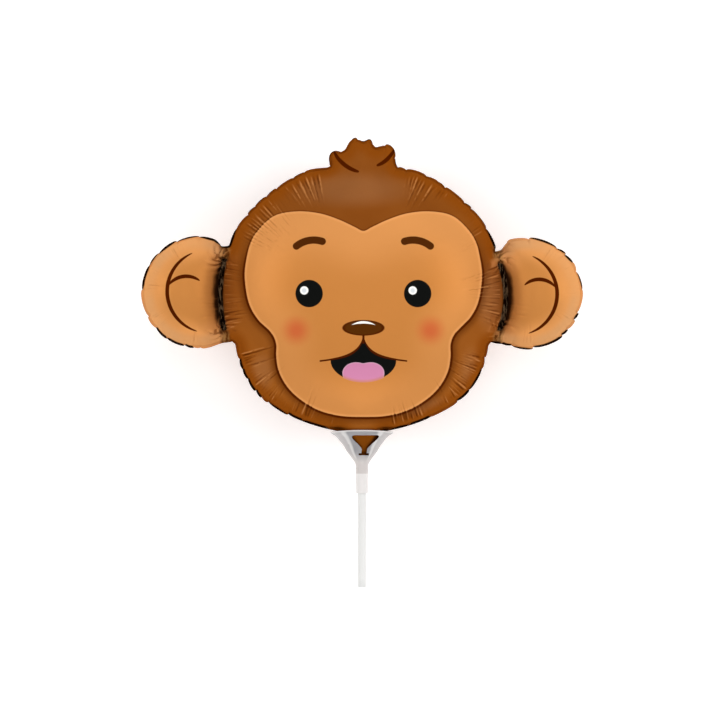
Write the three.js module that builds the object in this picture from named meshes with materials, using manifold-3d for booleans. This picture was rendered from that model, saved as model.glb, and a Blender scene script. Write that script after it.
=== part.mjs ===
// A monkey head foil balloon on a cup and stick, lying on its back.
// Units are millimetres. +Z is up, out of the face. +Y runs from the stick to the top of the head.
// The origin is the centre of the small flat that the back of the head rests on.

import * as THREE from "three";
import { mergeVertices } from "three/addons/utils/BufferGeometryUtils.js";
import Module from "manifold-3d";

// Head, seen from the front. The outline is given in shares of the half width and half height.
const HEAD_HALF_WIDTH = 93.5;
const HEAD_HALF_HEIGHT = 93.2;
const HEAD_HALF_THICKNESS = 56;
const HEAD_OUTLINE = [
  [0, 0.965],
  [0.24, 0.945],
  [0.425, 0.905],
  [0.65, 0.772],
  [0.8, 0.642],
  [0.905, 0.505],
  [0.975, 0.35],
  [1, 0.13],
  [0.99, -0.1],
  [0.932, -0.32],
  [0.888, -0.5],
  [0.825, -0.635],
  [0.712, -0.765],
  [0.57, -0.852],
  [0.385, -0.932],
  [0.18, -0.985],
  [0, -1],
];

// Ears: each is a round lobe, joined to the head by a short web with a weld down its middle.
// Rises are in shares of the head's half height, webs in shares of the ear's radius from its middle.
const EARS = [
  { side: 1, rise: 0.0193, webUp: 0.772, webDown: 0.898 },
  { side: -1, rise: 0.0268, webUp: 0.835, webDown: 0.911 },
];
const EAR_RADIUS = 38.1;
const EAR_STANDOFF = 18.4; // from the side of the head to the middle of the ear
const EAR_ARC = 109; // degrees each way from straight out
const WEB_LENGTH = 4.4;
const ROOT_WELD_END_GAP = 9.5; // from each notch to the end of the weld
const ROOT_WELD_HALF_WIDTH = 1.1;
const ROOT_WELD_BOW = 0.8;

// Tuft: the curls of hair on the top of the head, from right to left, in shares of the head's
// half width. Heights are over the head.
const TUFT_OUTLINE = [
  [0.263, -0.055],
  [0.245, -0.028],
  [0.249, 0.021],
  [0.232, 0.075],
  [0.18, 0.11],
  [0.124, 0.091],
  [0.094, 0.081],
  [0.077, 0.119],
  [0.057, 0.148],
  [0.032, 0.137],
  [0.009, 0.128],
  [-0.016, 0.144],
  [-0.041, 0.16],
  [-0.073, 0.144],
  [-0.103, 0.105],
  [-0.124, 0.07],
  [-0.154, 0.061],
  [-0.193, 0.064],
  [-0.226, 0.047],
  [-0.241, 0.002],
  [-0.235, -0.039],
  [-0.255, -0.059],
];

// Foil envelope. A foil disc inflates to about 0.6 of its full radius in half thickness.
const FLANGE_WIDTH = 2.2;
const FLANGE_THICKNESS = 0.8;
const REST_FLAT_DEPTH = 0.8; // how far the round back is pressed in where it rests
const CORNER_SOFTNESS = 1.1;
const PUFF_POWER = 1.4;

// Cup: a round funnel on a socket, as radius and height over the socket's top.
const CUP_RIM_RADIUS = 21.3;
const CUP_HEIGHT = 25.2;
const CUP_WALL = 1.1;
const CUP_FLARE = [
  [0, 0],
  [0.03, 0.08],
  [0.25, 0.3],
  [0.36, 0.405],
  [0.47, 0.54],
  [0.62, 0.675],
  [0.77, 0.8],
  [0.985, 0.93],
  [1, 1],
];
const CUP_TURN = 9; // degrees about its own axis
const SOCKET_LENGTH = 18.6;
const SOCKET_WALL = 1.05;
const STICK_FIT = 0.3;
const ENVELOPE_FIT = 0.35;
const RIM_RISE = 2.8; // how far the rim comes up past the bottom of the head

// Windows: a goblet-shaped hole in the front and the back of the cup, from its top edge down.
// The bowl is given in shares of its half width and of its depth.
const WINDOW_BAND = 3.4; // wall left under the lowest place where the head stands out past it
const WINDOW_HALF_WIDTH = 9.4;
const WINDOW_BOWL_DEPTH = 9.6;
const WINDOW_BOWL = [
  [0.9, 0],
  [1, 0.08],
  [0.96, 0.19],
  [0.7, 0.46],
  [0.38, 0.76],
];
const WINDOW_STEM_HALF_WIDTH = 1.9;
const WINDOW_STEM_LENGTH = 2.7;
const WINDOW_FOOT_HALF_WIDTH = 3.6;
const WINDOW_FOOT_HEIGHT = 1.4;

// Neck: the tapering tail of the balloon, which goes down inside the cup.
const NECK_ROOM_AT_RIM = 6.2;
const NECK_END_HALF_WIDTH = 3.4;
const NECK_ROOM_BELOW = 3.4;

// Stick: a straight plastic tube pushed up into the socket.
const STICK_RADIUS = 2.8;
const STICK_WALL = 0.7;
const STICK_LENGTH = 77.4;
const STICK_INSERTION = 13.4;

// Mesh fineness.
const OUTLINE_STEP = 0.8;
const LONGEST_EDGE = 6;
const CHORD_ERROR = 0.16;
const WELD_STEP = 4;
const RINGS = [0.6, 1.9, 4.2, 7.8, 12.5]; // depths inside the welds
const RING_SPACING = 0.45; // in shares of the depth
const RING_TRUENESS = 0.93;
const SMALLEST_EDGE = 0.5;
const THINNED_FROM = 3; // rings from this one on keep every other point
const GRID_STEP = 9;
const NUDGE = 1e-4; // keeps points off each other's circles
const RELAX_ROUNDS = 500;
const RELAX_FACTOR = 1.85;
const ROUND_SIDES = 40;

// Colours.
const FOIL_BROWN = 0x8a4a1a;
const CUP_WHITE = 0xd8d4d2;
const STICK_WHITE = 0xececea;

const DEGREE = Math.PI / 180;
const wasm = await Module();
wasm.setup();

// Places worked out from the sizes. The seam's plane is z = 0 until the pieces are placed.

const earOffset = HEAD_HALF_WIDTH + EAR_STANDOFF;
const webEnd = HEAD_HALF_WIDTH + (WEB_LENGTH - FLANGE_WIDTH) / 2;
const seamHeight = HEAD_HALF_THICKNESS - REST_FLAT_DEPTH;
const socketBore = STICK_RADIUS + STICK_FIT;
const socketRadius = socketBore + SOCKET_WALL;
const socketTop = RIM_RISE - HEAD_HALF_HEIGHT - CUP_HEIGHT;
const neckTopHalfWidth = CUP_RIM_RADIUS - CUP_WALL - NECK_ROOM_AT_RIM;
const neckEnd = socketTop + NECK_ROOM_BELOW;
const ears = EARS.map(({ side, rise, webUp, webDown }) => {
  const middle = rise * HEAD_HALF_HEIGHT;
  return {
    side,
    middle,
    webTop: middle + webUp * EAR_RADIUS,
    webBottom: middle - webDown * EAR_RADIUS,
  };
});

// Outline of the envelope

// The head alone, as points from the bottom round the right side to the top and back.
function headCurve() {
  const scaled = HEAD_OUTLINE.map(
    ([x, y]) =>
      new THREE.Vector3(x * HEAD_HALF_WIDTH, y * HEAD_HALF_HEIGHT, 0),
  ).reverse();
  const left = scaled
    .slice(1, -1)
    .reverse()
    .map((p) => new THREE.Vector3(-p.x, p.y, 0));
  const curve = new THREE.CatmullRomCurve3(
    [...scaled, ...left],
    true,
    "centripetal",
  );
  return curve.getSpacedPoints(Math.round(curve.getLength() / OUTLINE_STEP));
}

function tuftCurve() {
  const corners = TUFT_OUTLINE.map(
    ([x, y]) =>
      new THREE.Vector3(
        x * HEAD_HALF_WIDTH,
        HEAD_HALF_HEIGHT + y * HEAD_HALF_WIDTH,
        0,
      ),
  );
  const curve = new THREE.CatmullRomCurve3(corners, false, "centripetal");
  return curve
    .getSpacedPoints(Math.round(curve.getLength() / OUTLINE_STEP))
    .map(({ x, y }) => new THREE.Vector2(x, y));
}

// The end of the neck, whose straight sides run up to the bottom of the head.
function neckCurve() {
  return [
    new THREE.Vector2(-NECK_END_HALF_WIDTH, neckEnd),
    new THREE.Vector2(NECK_END_HALF_WIDTH, neckEnd),
  ];
}

// One ear with its web, anticlockwise from notch to notch.
function earCurve({ side, middle, webTop, webBottom }) {
  const webStart = webEnd - WEB_LENGTH;
  const steps = Math.round((2 * EAR_ARC * DEGREE * EAR_RADIUS) / OUTLINE_STEP);
  const lobe = Array.from({ length: steps + 1 }, (_, i) => {
    const a = EAR_ARC * DEGREE * ((2 * i) / steps - 1);
    return [
      earOffset + EAR_RADIUS * Math.cos(a),
      middle + EAR_RADIUS * Math.sin(a),
    ];
  });
  const ear = [
    [webStart, webBottom],
    [webEnd, webBottom],
    ...lobe,
    [webEnd, webTop],
    [webStart, webTop],
  ];
  const placed = ear.map(([x, y]) => new THREE.Vector2(side * x, y));
  return side > 0 ? placed : placed.reverse();
}

// The whole outline, anticlockwise from the bottom of the right side.
function rawOutline() {
  const tuft = tuftCurve();
  const tuftRight = tuft[0].x;
  const tuftLeft = tuft[tuft.length - 1].x;
  const parts = [
    {
      covers: (p) => p.y < 0 && Math.abs(p.x) < neckTopHalfWidth,
      points: neckCurve(),
    },
    {
      covers: (p) => p.y > 0 && p.x < tuftRight && p.x > tuftLeft,
      points: tuft,
    },
    ...ears.map((ear) => ({
      covers: (p) =>
        ear.side * p.x > 0 && p.y > ear.webBottom && p.y < ear.webTop,
      points: earCurve(ear),
    })),
  ];
  const outline = [];
  for (const { x, y } of headCurve()) {
    const p = new THREE.Vector2(x, y);
    const part = parts.find(({ covers }) => covers(p));
    if (!part) outline.push(p);
    else if (!outline.includes(part.points[0])) outline.push(...part.points);
  }
  return outline;
}

// Points at an even step along a closed polyline.
function resample(points, step) {
  const closed = [...points, points[0]];
  const total = closed
    .slice(1)
    .reduce((sum, p, i) => sum + p.distanceTo(closed[i]), 0);
  const count = Math.round(total / step);
  const even = [];
  let i = 0;
  let passed = 0;
  for (let k = 0; k < count; k++) {
    const target = (k * total) / count;
    let edge = closed[i].distanceTo(closed[i + 1]);
    while (passed + edge < target) {
      passed += edge;
      i += 1;
      edge = closed[i].distanceTo(closed[i + 1]);
    }
    even.push(
      closed[i].clone().lerp(closed[i + 1], edge ? (target - passed) / edge : 0),
    );
  }
  return even;
}

// Rounds the corners with a bell-shaped average along the line.
function soften(points, reach) {
  const span = Math.ceil((3 * reach) / OUTLINE_STEP);
  return points.map((_, i) => {
    const sum = new THREE.Vector2();
    let weight = 0;
    for (let k = -span; k <= span; k++) {
      const w = Math.exp(-0.5 * ((k * OUTLINE_STEP) / reach) ** 2);
      sum.addScaledVector(points[(i + k + points.length) % points.length], w);
      weight += w;
    }
    return sum.divideScalar(weight);
  });
}

// Keeps the points that the shape needs: an edge ends where it would bow or run too far.
function thin(points) {
  const kept = [0];
  let from = 0;
  for (let to = 2; to < points.length; to++) {
    const chord = points[to].clone().sub(points[from]);
    const length = chord.length();
    let bow = 0;
    for (let k = from + 1; k < to; k++) {
      const p = points[k].clone().sub(points[from]);
      bow = Math.max(bow, Math.abs(chord.cross(p)) / length);
    }
    if (bow > CHORD_ERROR || length > LONGEST_EDGE) {
      from = to - 1;
      kept.push(from);
    }
  }
  return kept.map((i) => points[i]);
}

// Points inside the envelope

// The unit normal to the left at each point of a closed line.
function leftNormals(points) {
  return points.map((_, i) => {
    const before = points[(i + points.length - 1) % points.length];
    const after = points[(i + 1) % points.length];
    const along = after.clone().sub(before).normalize();
    return new THREE.Vector2(-along.y, along.x);
  });
}

function distanceToLine(p, line) {
  let nearest = Infinity;
  line.forEach((a, i) => {
    const b = line[(i + 1) % line.length];
    const edge = b.clone().sub(a);
    const t = THREE.MathUtils.clamp(
      p.clone().sub(a).dot(edge) / edge.lengthSq(),
      0,
      1,
    );
    nearest = Math.min(nearest, a.clone().addScaledVector(edge, t).distanceTo(p));
  });
  return nearest;
}

function isInside(p, outline) {
  let inside = false;
  outline.forEach((a, i) => {
    const b = outline[(i + 1) % outline.length];
    if (a.y > p.y !== b.y > p.y) {
      const x = a.x + ((p.y - a.y) / (b.y - a.y)) * (b.x - a.x);
      if (p.x < x) inside = !inside;
    }
  });
  return inside;
}

// The weld at an ear's root, as a long thin loop with its left side outwards.
function rootWeld({ side, webTop, webBottom }) {
  const middle = (webTop + webBottom) / 2;
  const halfLength = (webTop - webBottom) / 2 - ROOT_WELD_END_GAP;
  const steps = Math.round((2 * halfLength) / WELD_STEP);
  const row = (offset) =>
    Array.from({ length: steps + 1 }, (_, i) => {
      const t = (2 * i) / steps - 1;
      const x = HEAD_HALF_WIDTH + ROOT_WELD_BOW * (1 - t * t);
      return new THREE.Vector2(side * x + offset, middle + t * halfLength);
    });
  return [
    ...row(-ROOT_WELD_HALF_WIDTH),
    ...row(ROOT_WELD_HALF_WIDTH).reverse(),
  ];
}

// Every point of the flat pattern. seam marks the ones where front and back are welded together.
function patternPoints(outline) {
  const seams = [
    { line: outline, width: FLANGE_WIDTH },
    ...ears.map((ear) => ({ line: rootWeld(ear), width: 0 })),
  ];
  const depthAt = (q) =>
    Math.min(...seams.map((s) => distanceToLine(q, s.line) - s.width));
  const points = seams.flatMap(({ line }) =>
    line.map((p) => ({ p, seam: true })),
  );
  const addRing = (depth, ring) => {
    const room = Math.max(RING_SPACING * depth, SMALLEST_EDGE);
    const earlier = points.map(({ p }) => p);
    for (const { line, width } of seams) {
      const normals = leftNormals(line);
      line.forEach((p, i) => {
        if (ring >= THINNED_FROM && i % 2) return;
        const q = p.clone().addScaledVector(normals[i], width + depth);
        const kept =
          isInside(q, outline) &&
          depthAt(q) > RING_TRUENESS * depth &&
          earlier.every((o) => o.distanceTo(q) > room);
        if (!kept) return;
        earlier.push(q);
        points.push({ p: q, seam: false });
      });
    }
  };
  leftNormals(outline).forEach((normal, i) => {
    const q = outline[i].clone().addScaledVector(normal, FLANGE_WIDTH);
    if (distanceToLine(q, outline) > RING_TRUENESS * FLANGE_WIDTH)
      points.push({ p: q, seam: true });
  });
  RINGS.forEach(addRing);
  const innermost = RINGS[RINGS.length - 1] + GRID_STEP / 3;
  const rowStep = (GRID_STEP * Math.sqrt(3)) / 2;
  const rows = Math.ceil(HEAD_HALF_HEIGHT / rowStep);
  const columns = Math.ceil((earOffset + EAR_RADIUS) / GRID_STEP);
  for (let j = -rows; j <= rows; j++) {
    for (let i = -columns; i <= columns; i++) {
      const q = new THREE.Vector2((i + (j % 2) / 2) * GRID_STEP, j * rowStep);
      if (isInside(q, outline) && depthAt(q) > innermost)
        points.push({ p: q, seam: false });
    }
  }
  return points;
}

// Delaunay triangles of the points, by adding one point at a time.
function triangulate(points) {
  const all = points.map((p, i) => [
    p.x + NUDGE * Math.sin(i),
    p.y + NUDGE * Math.cos(i),
  ]);
  const far = 50 * (earOffset + EAR_RADIUS);
  const n = points.length;
  all.push([-far, -far], [far, -far], [0, far]);
  const circle = (a, b, c) => {
    const [ax, ay] = all[a];
    const bx = all[b][0] - ax;
    const by = all[b][1] - ay;
    const cx = all[c][0] - ax;
    const cy = all[c][1] - ay;
    const d = 2 * (bx * cy - by * cx);
    const ux = (cy * (bx * bx + by * by) - by * (cx * cx + cy * cy)) / d;
    const uy = (bx * (cx * cx + cy * cy) - cx * (bx * bx + by * by)) / d;
    return { v: [a, b, c], x: ax + ux, y: ay + uy, rr: ux * ux + uy * uy };
  };
  let triangles = [circle(n, n + 1, n + 2)];
  for (let i = 0; i < n; i++) {
    const [x, y] = all[i];
    const edges = new Map();
    triangles = triangles.filter((t) => {
      if ((x - t.x) ** 2 + (y - t.y) ** 2 >= t.rr) return true;
      t.v.forEach((a, k) => {
        const b = t.v[(k + 1) % 3];
        if (!edges.delete(`${b},${a}`)) edges.set(`${a},${b}`, [a, b]);
      });
      return false;
    });
    edges.forEach(([a, b]) => triangles.push(circle(a, b, i)));
  }
  return triangles.map((t) => t.v).filter((v) => v.every((i) => i < n));
}

// Inflation

// Solves the spread of an even pressure over the pattern, held at the welds.
function pressureField(points, triangles) {
  const links = points.map(() => new Map());
  const load = new Float64Array(points.length);
  for (const t of triangles) {
    const [a, b, c] = t.map((i) => points[i].p);
    const area = Math.abs(b.clone().sub(a).cross(c.clone().sub(a))) / 2;
    t.forEach((i, k) => {
      const j = t[(k + 1) % 3];
      const o = t[(k + 2) % 3];
      const u = points[i].p.clone().sub(points[o].p);
      const v = points[j].p.clone().sub(points[o].p);
      const cotangent = u.dot(v) / Math.abs(u.cross(v)) / 2;
      links[i].set(j, (links[i].get(j) ?? 0) + cotangent);
      links[j].set(i, (links[j].get(i) ?? 0) + cotangent);
      load[i] += area / 3;
    });
  }
  const field = new Float64Array(points.length);
  for (let round = 0; round < RELAX_ROUNDS; round++) {
    points.forEach((point, i) => {
      if (point.seam) return;
      let pull = load[i];
      let stiffness = 0;
      for (const [j, w] of links[i]) {
        pull += w * field[j];
        stiffness += w;
      }
      field[i] += RELAX_FACTOR * (pull / stiffness - field[i]);
    });
  }
  return field;
}

// The half thickness where the pressure field has this share of its peak: flat in the middle and
// round at the seam, as a foil disc is once it is inflated.
function puff(share) {
  const s = THREE.MathUtils.clamp(share, 0, 1);
  return HEAD_HALF_THICKNESS * Math.sqrt(1 - (1 - s) ** PUFF_POWER);
}

// The closed solid between a front and a back skin over the same flat pattern.
function skinsToGeometry(points, triangles, front, back) {
  const n = points.length;
  const position = [];
  points.forEach(({ p }, i) => position.push(p.x, p.y, front[i]));
  points.forEach(({ p }, i) => position.push(p.x, p.y, back[i]));
  const index = [];
  const open = new Map();
  for (const [a, b, c] of triangles) {
    index.push(a, b, c, n + a, n + c, n + b);
    for (const [i, j] of [
      [a, b],
      [b, c],
      [c, a],
    ])
      if (!open.delete(`${j},${i}`)) open.set(`${i},${j}`, [i, j]);
  }
  for (const [i, j] of open.values())
    index.push(i, n + i, n + j, i, n + j, j);
  const geometry = new THREE.BufferGeometry();
  geometry.setAttribute(
    "position",
    new THREE.Float32BufferAttribute(position, 3),
  );
  geometry.setIndex(index);
  return geometry;
}

// The envelope with its seam at z = 0.
function envelopeGeometry() {
  const fine = soften(resample(rawOutline(), OUTLINE_STEP), CORNER_SOFTNESS);
  const outline = thin(fine);
  const points = patternPoints(outline);
  const inPattern = (t) => {
    const middle = new THREE.Vector2();
    t.forEach((i) => middle.add(points[i].p));
    return isInside(middle.divideScalar(3), outline);
  };
  const triangles = triangulate(points.map(({ p }) => p)).filter(inPattern);
  const field = pressureField(points, triangles);
  const peak = Math.max(...field);
  const half = points.map(({ seam }, i) =>
    Math.max(seam ? 0 : puff(field[i] / peak), FLANGE_THICKNESS / 2),
  );
  const back = half.map((h) => -Math.min(h, seamHeight));
  return skinsToGeometry(points, triangles, half, back);
}

// The same surface moved out along its normals, for cutting a clear fit in what touches it.
function grown(geometry, gap) {
  const wide = geometry.clone();
  wide.computeVertexNormals();
  const position = wide.getAttribute("position");
  const normal = wide.getAttribute("normal");
  for (let i = 0; i < position.count; i++)
    position.setXYZ(
      i,
      position.getX(i) + gap * normal.getX(i),
      position.getY(i) + gap * normal.getY(i),
      position.getZ(i) + gap * normal.getZ(i),
    );
  wide.deleteAttribute("normal");
  return wide;
}

// Solids

function toSolid(geometry) {
  const bare = geometry.clone();
  bare.deleteAttribute("normal");
  bare.deleteAttribute("uv");
  const merged = mergeVertices(bare, 1e-4);
  return new wasm.Manifold(
    new wasm.Mesh({
      numProp: 3,
      vertProperties: new Float32Array(merged.attributes.position.array),
      triVerts: new Uint32Array(merged.index.array),
    }),
  );
}

function toGeometry(solid) {
  const mesh = solid.getMesh();
  const geometry = new THREE.BufferGeometry();
  geometry.setAttribute(
    "position",
    new THREE.Float32BufferAttribute(mesh.vertProperties, 3),
  );
  geometry.setIndex([...mesh.triVerts]);
  return geometry;
}

// Cup and stick: both stand on the Y axis, with y = 0 at the top of the socket.

function cupOuterLine() {
  return CUP_FLARE.map(
    ([r, y]) =>
      new THREE.Vector2(
        socketRadius + r * (CUP_RIM_RADIUS - socketRadius),
        y * CUP_HEIGHT,
      ),
  );
}

function cupProfile() {
  const outer = cupOuterLine();
  const inner = outer.map(
    (p) => new THREE.Vector2(Math.max(p.x - CUP_WALL, socketBore), p.y),
  );
  return [
    new THREE.Vector2(socketBore, -SOCKET_LENGTH),
    new THREE.Vector2(socketRadius, -SOCKET_LENGTH),
    ...outer,
    ...inner.reverse(),
    new THREE.Vector2(socketBore, -SOCKET_LENGTH),
  ];
}

function windowShape(top) {
  const bowl = top - WINDOW_BOWL_DEPTH;
  const stem = bowl - WINDOW_STEM_LENGTH;
  const half = [
    ...WINDOW_BOWL.map(([x, drop]) => [
      x * WINDOW_HALF_WIDTH,
      top - drop * WINDOW_BOWL_DEPTH,
    ]),
    [WINDOW_STEM_HALF_WIDTH, bowl],
    [WINDOW_STEM_HALF_WIDTH, stem],
    [WINDOW_FOOT_HALF_WIDTH, stem],
    [WINDOW_FOOT_HALF_WIDTH, stem - WINDOW_FOOT_HEIGHT],
  ];
  const points = [...half, ...half.map(([x, y]) => [-x, y]).reverse()];
  return new THREE.Shape(points.map(([x, y]) => new THREE.Vector2(x, y)));
}

// The cup, cut clear of the room that the envelope takes.
function cupSolid(envelopeRoom) {
  const place = (geometry) =>
    toSolid(geometry)
      .rotate([0, CUP_TURN, 0])
      .translate([0, socketTop, 0]);
  const filled = [
    new THREE.Vector2(0, 0),
    ...cupOuterLine(),
    new THREE.Vector2(0, CUP_HEIGHT),
  ];
  const core = place(new THREE.LatheGeometry(filled, ROUND_SIDES));
  const outside = envelopeRoom.subtract(core).boundingBox();
  const windowTop = outside.min[1] - socketTop - WINDOW_BAND;
  const funnel = place(new THREE.LatheGeometry(cupProfile(), ROUND_SIDES));
  const depth = 2 * CUP_RIM_RADIUS + 2 * CUP_WALL;
  const windows = place(
    new THREE.ExtrudeGeometry(windowShape(windowTop), {
      depth,
      bevelEnabled: false,
    }).translate(0, 0, -depth / 2),
  );
  return funnel.subtract(windows).subtract(envelopeRoom);
}

function stickGeometry() {
  const bore = STICK_RADIUS - STICK_WALL;
  const top = STICK_INSERTION - SOCKET_LENGTH;
  const bottom = top - STICK_LENGTH;
  return new THREE.LatheGeometry(
    [
      new THREE.Vector2(bore, bottom),
      new THREE.Vector2(STICK_RADIUS, bottom),
      new THREE.Vector2(STICK_RADIUS, top),
      new THREE.Vector2(bore, top),
      new THREE.Vector2(bore, bottom),
    ],
    ROUND_SIDES,
  );
}

// The object

function material(color, roughness) {
  return new THREE.MeshStandardMaterial({ color, roughness, metalness: 0 });
}

const envelope = envelopeGeometry();
const balloon = new THREE.Mesh(envelope, material(FOIL_BROWN, 0.4));
balloon.name = "balloon_envelope";
balloon.position.z = seamHeight;

const clearCup = cupSolid(toSolid(grown(envelope, ENVELOPE_FIT)));
const cup = new THREE.Mesh(toGeometry(clearCup), material(CUP_WHITE, 0.3));
cup.name = "balloon_cup";
cup.position.z = seamHeight;

const stick = new THREE.Mesh(stickGeometry(), material(STICK_WHITE, 0.4));
stick.name = "balloon_stick";
stick.position.set(0, socketTop, seamHeight);

const object = new THREE.Group();
object.add(balloon, cup, stick);

export default object;
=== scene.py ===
"""A monkey head foil balloon on a cup and stick, lying on its back on a pale floor.

Sizes are in millimetres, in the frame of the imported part: +Z is up, out of the face, and +Y runs
from the stick to the top of the head. Meshes are made in metres.
"""

import logging
import math
from dataclasses import dataclass, field, replace
from enum import Enum

import bpy
import numpy as np
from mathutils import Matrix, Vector, geometry, kdtree


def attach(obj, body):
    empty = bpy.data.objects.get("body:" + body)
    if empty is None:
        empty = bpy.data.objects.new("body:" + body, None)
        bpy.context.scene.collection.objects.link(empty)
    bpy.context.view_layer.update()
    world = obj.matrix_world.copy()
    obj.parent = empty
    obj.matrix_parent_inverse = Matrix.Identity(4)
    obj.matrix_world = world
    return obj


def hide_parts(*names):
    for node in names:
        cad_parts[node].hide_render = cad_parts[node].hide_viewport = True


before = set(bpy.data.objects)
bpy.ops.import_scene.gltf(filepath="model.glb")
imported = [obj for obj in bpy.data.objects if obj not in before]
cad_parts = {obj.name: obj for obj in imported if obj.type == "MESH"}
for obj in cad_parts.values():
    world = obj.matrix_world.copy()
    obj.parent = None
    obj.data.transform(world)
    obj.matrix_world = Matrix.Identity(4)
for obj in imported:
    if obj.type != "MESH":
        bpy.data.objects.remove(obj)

MM = 0.001
PATTERN_MAP = "flat_pattern"
PATTERN_SPAN = 400.0  # millimetres of the flat pattern to one unit of its map
HALF_THICKNESS = 56.0
REST_FLAT_DEPTH = 0.8  # how far the back is pressed in where the balloon lies on it
SEAM_HEIGHT = HALF_THICKNESS - REST_FLAT_DEPTH  # of the welds, the cup's axis and the stick's
FACE_AXIS = 0.95  # the x of the middle of the printed face

# The right half of the pale patch behind the face, from the notch at its top to the chin.
FACE_PATCH = (
    (0, 44.2), (5.3, 46.7), (16.4, 51.9), (29.6, 56.2), (45.4, 57.6), (60.6, 54.6), (71.6, 44.9),
    (76.8, 36.4), (80.6, 19.5), (80.8, 10.9), (77.7, -6.1), (71.3, -17), (62.5, -25.6),
    (59.6, -32.4), (59.5, -41.4), (57.7, -51.4), (52.2, -61.7), (43.7, -70.2), (30.4, -78.1),
    (15.8, -81.9), (0, -82.6),
)  # fmt: skip
log = logging.getLogger("balloon")


# Working in Blender


def select_only(piece: bpy.types.Object) -> None:
    """Makes one object the active and only selected one.

    Args:
        piece: The object to work on.
    """
    bpy.ops.object.select_all(action="DESELECT")
    piece.select_set(True)
    bpy.context.view_layer.objects.active = piece


def apply_modifier(piece: bpy.types.Object, kind: str, **settings: object) -> None:
    """Adds a modifier to a piece and applies it.

    Args:
        piece: The object that is modelled.
        kind: Blender's name of the modifier's type.
        **settings: What is set on the modifier before it is applied.
    """
    select_only(piece)
    modifier = piece.modifiers.new(kind.title(), kind)
    for name, value in settings.items():
        setattr(modifier, name, value)
    bpy.ops.object.modifier_apply(modifier=modifier.name)


def smooth(piece: bpy.types.Object, degrees: float) -> None:
    """Shades a piece smooth, but for the edges that turn more than an angle."""
    select_only(piece)
    bpy.ops.object.shade_smooth_by_angle(angle=math.radians(degrees))


def cut_away(piece: bpy.types.Object, cutter: bpy.types.Object) -> None:
    """Takes the room of one object out of another, and deletes the first.

    Args:
        piece: The object that is cut.
        cutter: The closed object that it is cut with.
    """
    apply_modifier(piece, "BOOLEAN", object=cutter, operation="DIFFERENCE", solver="EXACT")
    bpy.data.objects.remove(cutter)


def settle(piece: bpy.types.Object, node: str) -> None:
    """Puts a finished piece on the part in the place of its CAD node.

    Args:
        piece: The finished piece, with its place in its mesh.
        node: The CAD node that it replaces.
    """
    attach(piece, "root")
    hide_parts(node)
    log.info("%s: %d faces, for %s", piece.name, len(piece.data.polygons), node)


def draw_line(name: str, corners: list[tuple[float, float, float]]) -> bpy.types.Object:
    """Makes an object of one line, by extruding a vertex from corner to corner.

    Args:
        name: The object's name.
        corners: The places along the line in millimetres.

    Returns:
        The object, left in edit mode with its whole line selected.
    """
    bpy.ops.object.select_all(action="DESELECT")
    bpy.ops.mesh.primitive_plane_add(size=MM, location=(0, 0, 0))
    line = bpy.context.object
    line.name = name
    bpy.ops.object.mode_set(mode="EDIT")
    bpy.ops.mesh.merge(type="CENTER")
    bpy.ops.transform.translate(value=Vector(corners[0]) * MM)
    for here, there in zip(corners, corners[1:]):
        step = (Vector(there) - Vector(here)) * MM
        bpy.ops.mesh.extrude_region_move(TRANSFORM_OT_translate={"value": step})
    bpy.ops.mesh.select_all(action="SELECT")
    return line


def turned_on_axis(
    name: str, profile: list[tuple[float, float]], sides: int
) -> bpy.types.Object:
    """Spins a closed profile once round the line along Y that the cup and the stick share.

    Args:
        name: The object's name.
        profile: Radius and y of each corner, with the first one again at the end.
        sides: How many faces go round.

    Returns:
        The closed solid, with its normals outwards.
    """
    piece = draw_line(name, [(radius, y, SEAM_HEIGHT) for radius, y in profile])
    centre = (0, 0, SEAM_HEIGHT * MM)
    bpy.ops.mesh.spin(steps=sides, angle=2 * math.pi, center=centre, axis=(0, 1, 0))
    bpy.ops.mesh.select_all(action="SELECT")
    bpy.ops.mesh.remove_doubles(threshold=0.01 * MM)
    bpy.ops.mesh.normals_make_consistent(inside=False)
    bpy.ops.object.mode_set(mode="OBJECT")
    return piece


def prism(
    name: str, outline: list[tuple[float, float]], low: float, high: float
) -> bpy.types.Object:
    """Raises a flat outline into a solid that stands along Z.

    Args:
        name: The object's name.
        outline: The corners x and y in order.
        low: The height of its lower face.
        high: The height of its upper face.

    Returns:
        The closed solid.
    """
    piece = draw_line(name, [(x, y, low) for x, y in outline])
    bpy.ops.mesh.edge_face_add()
    rise = (0, 0, (high - low) * MM)
    bpy.ops.mesh.extrude_region_move(TRANSFORM_OT_translate={"value": rise})
    bpy.ops.mesh.select_all(action="SELECT")
    bpy.ops.mesh.normals_make_consistent(inside=False)
    bpy.ops.object.mode_set(mode="OBJECT")
    return piece


# Materials


class Socket:
    """An output of a node, with the operators that shader maths is written in."""

    def __init__(self, shader: "Shader", output: bpy.types.NodeSocket) -> None:
        """Wraps an output.

        Args:
            shader: The material that the node is in.
            output: The socket itself.
        """
        self.shader = shader
        self.output = output

    def __add__(self, other: "Socket | float") -> "Socket":
        """The sum."""
        return self.shader.maths("ADD", self, other)

    __radd__ = __add__

    def __sub__(self, other: "Socket | float") -> "Socket":
        """The difference."""
        return self.shader.maths("SUBTRACT", self, other)

    def __rsub__(self, other: float) -> "Socket":
        """The difference from a number."""
        return self.shader.maths("SUBTRACT", other, self)

    def __mul__(self, other: "Socket | float") -> "Socket":
        """The product."""
        return self.shader.maths("MULTIPLY", self, other)

    __rmul__ = __mul__

    def __truediv__(self, other: "Socket | float") -> "Socket":
        """The quotient."""
        return self.shader.maths("DIVIDE", self, other)

    def __pow__(self, other: float) -> "Socket":
        """The power."""
        return self.shader.maths("POWER", self, other)

    def __abs__(self) -> "Socket":
        """The size without its sign."""
        return self.shader.maths("ABSOLUTE", self)


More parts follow.
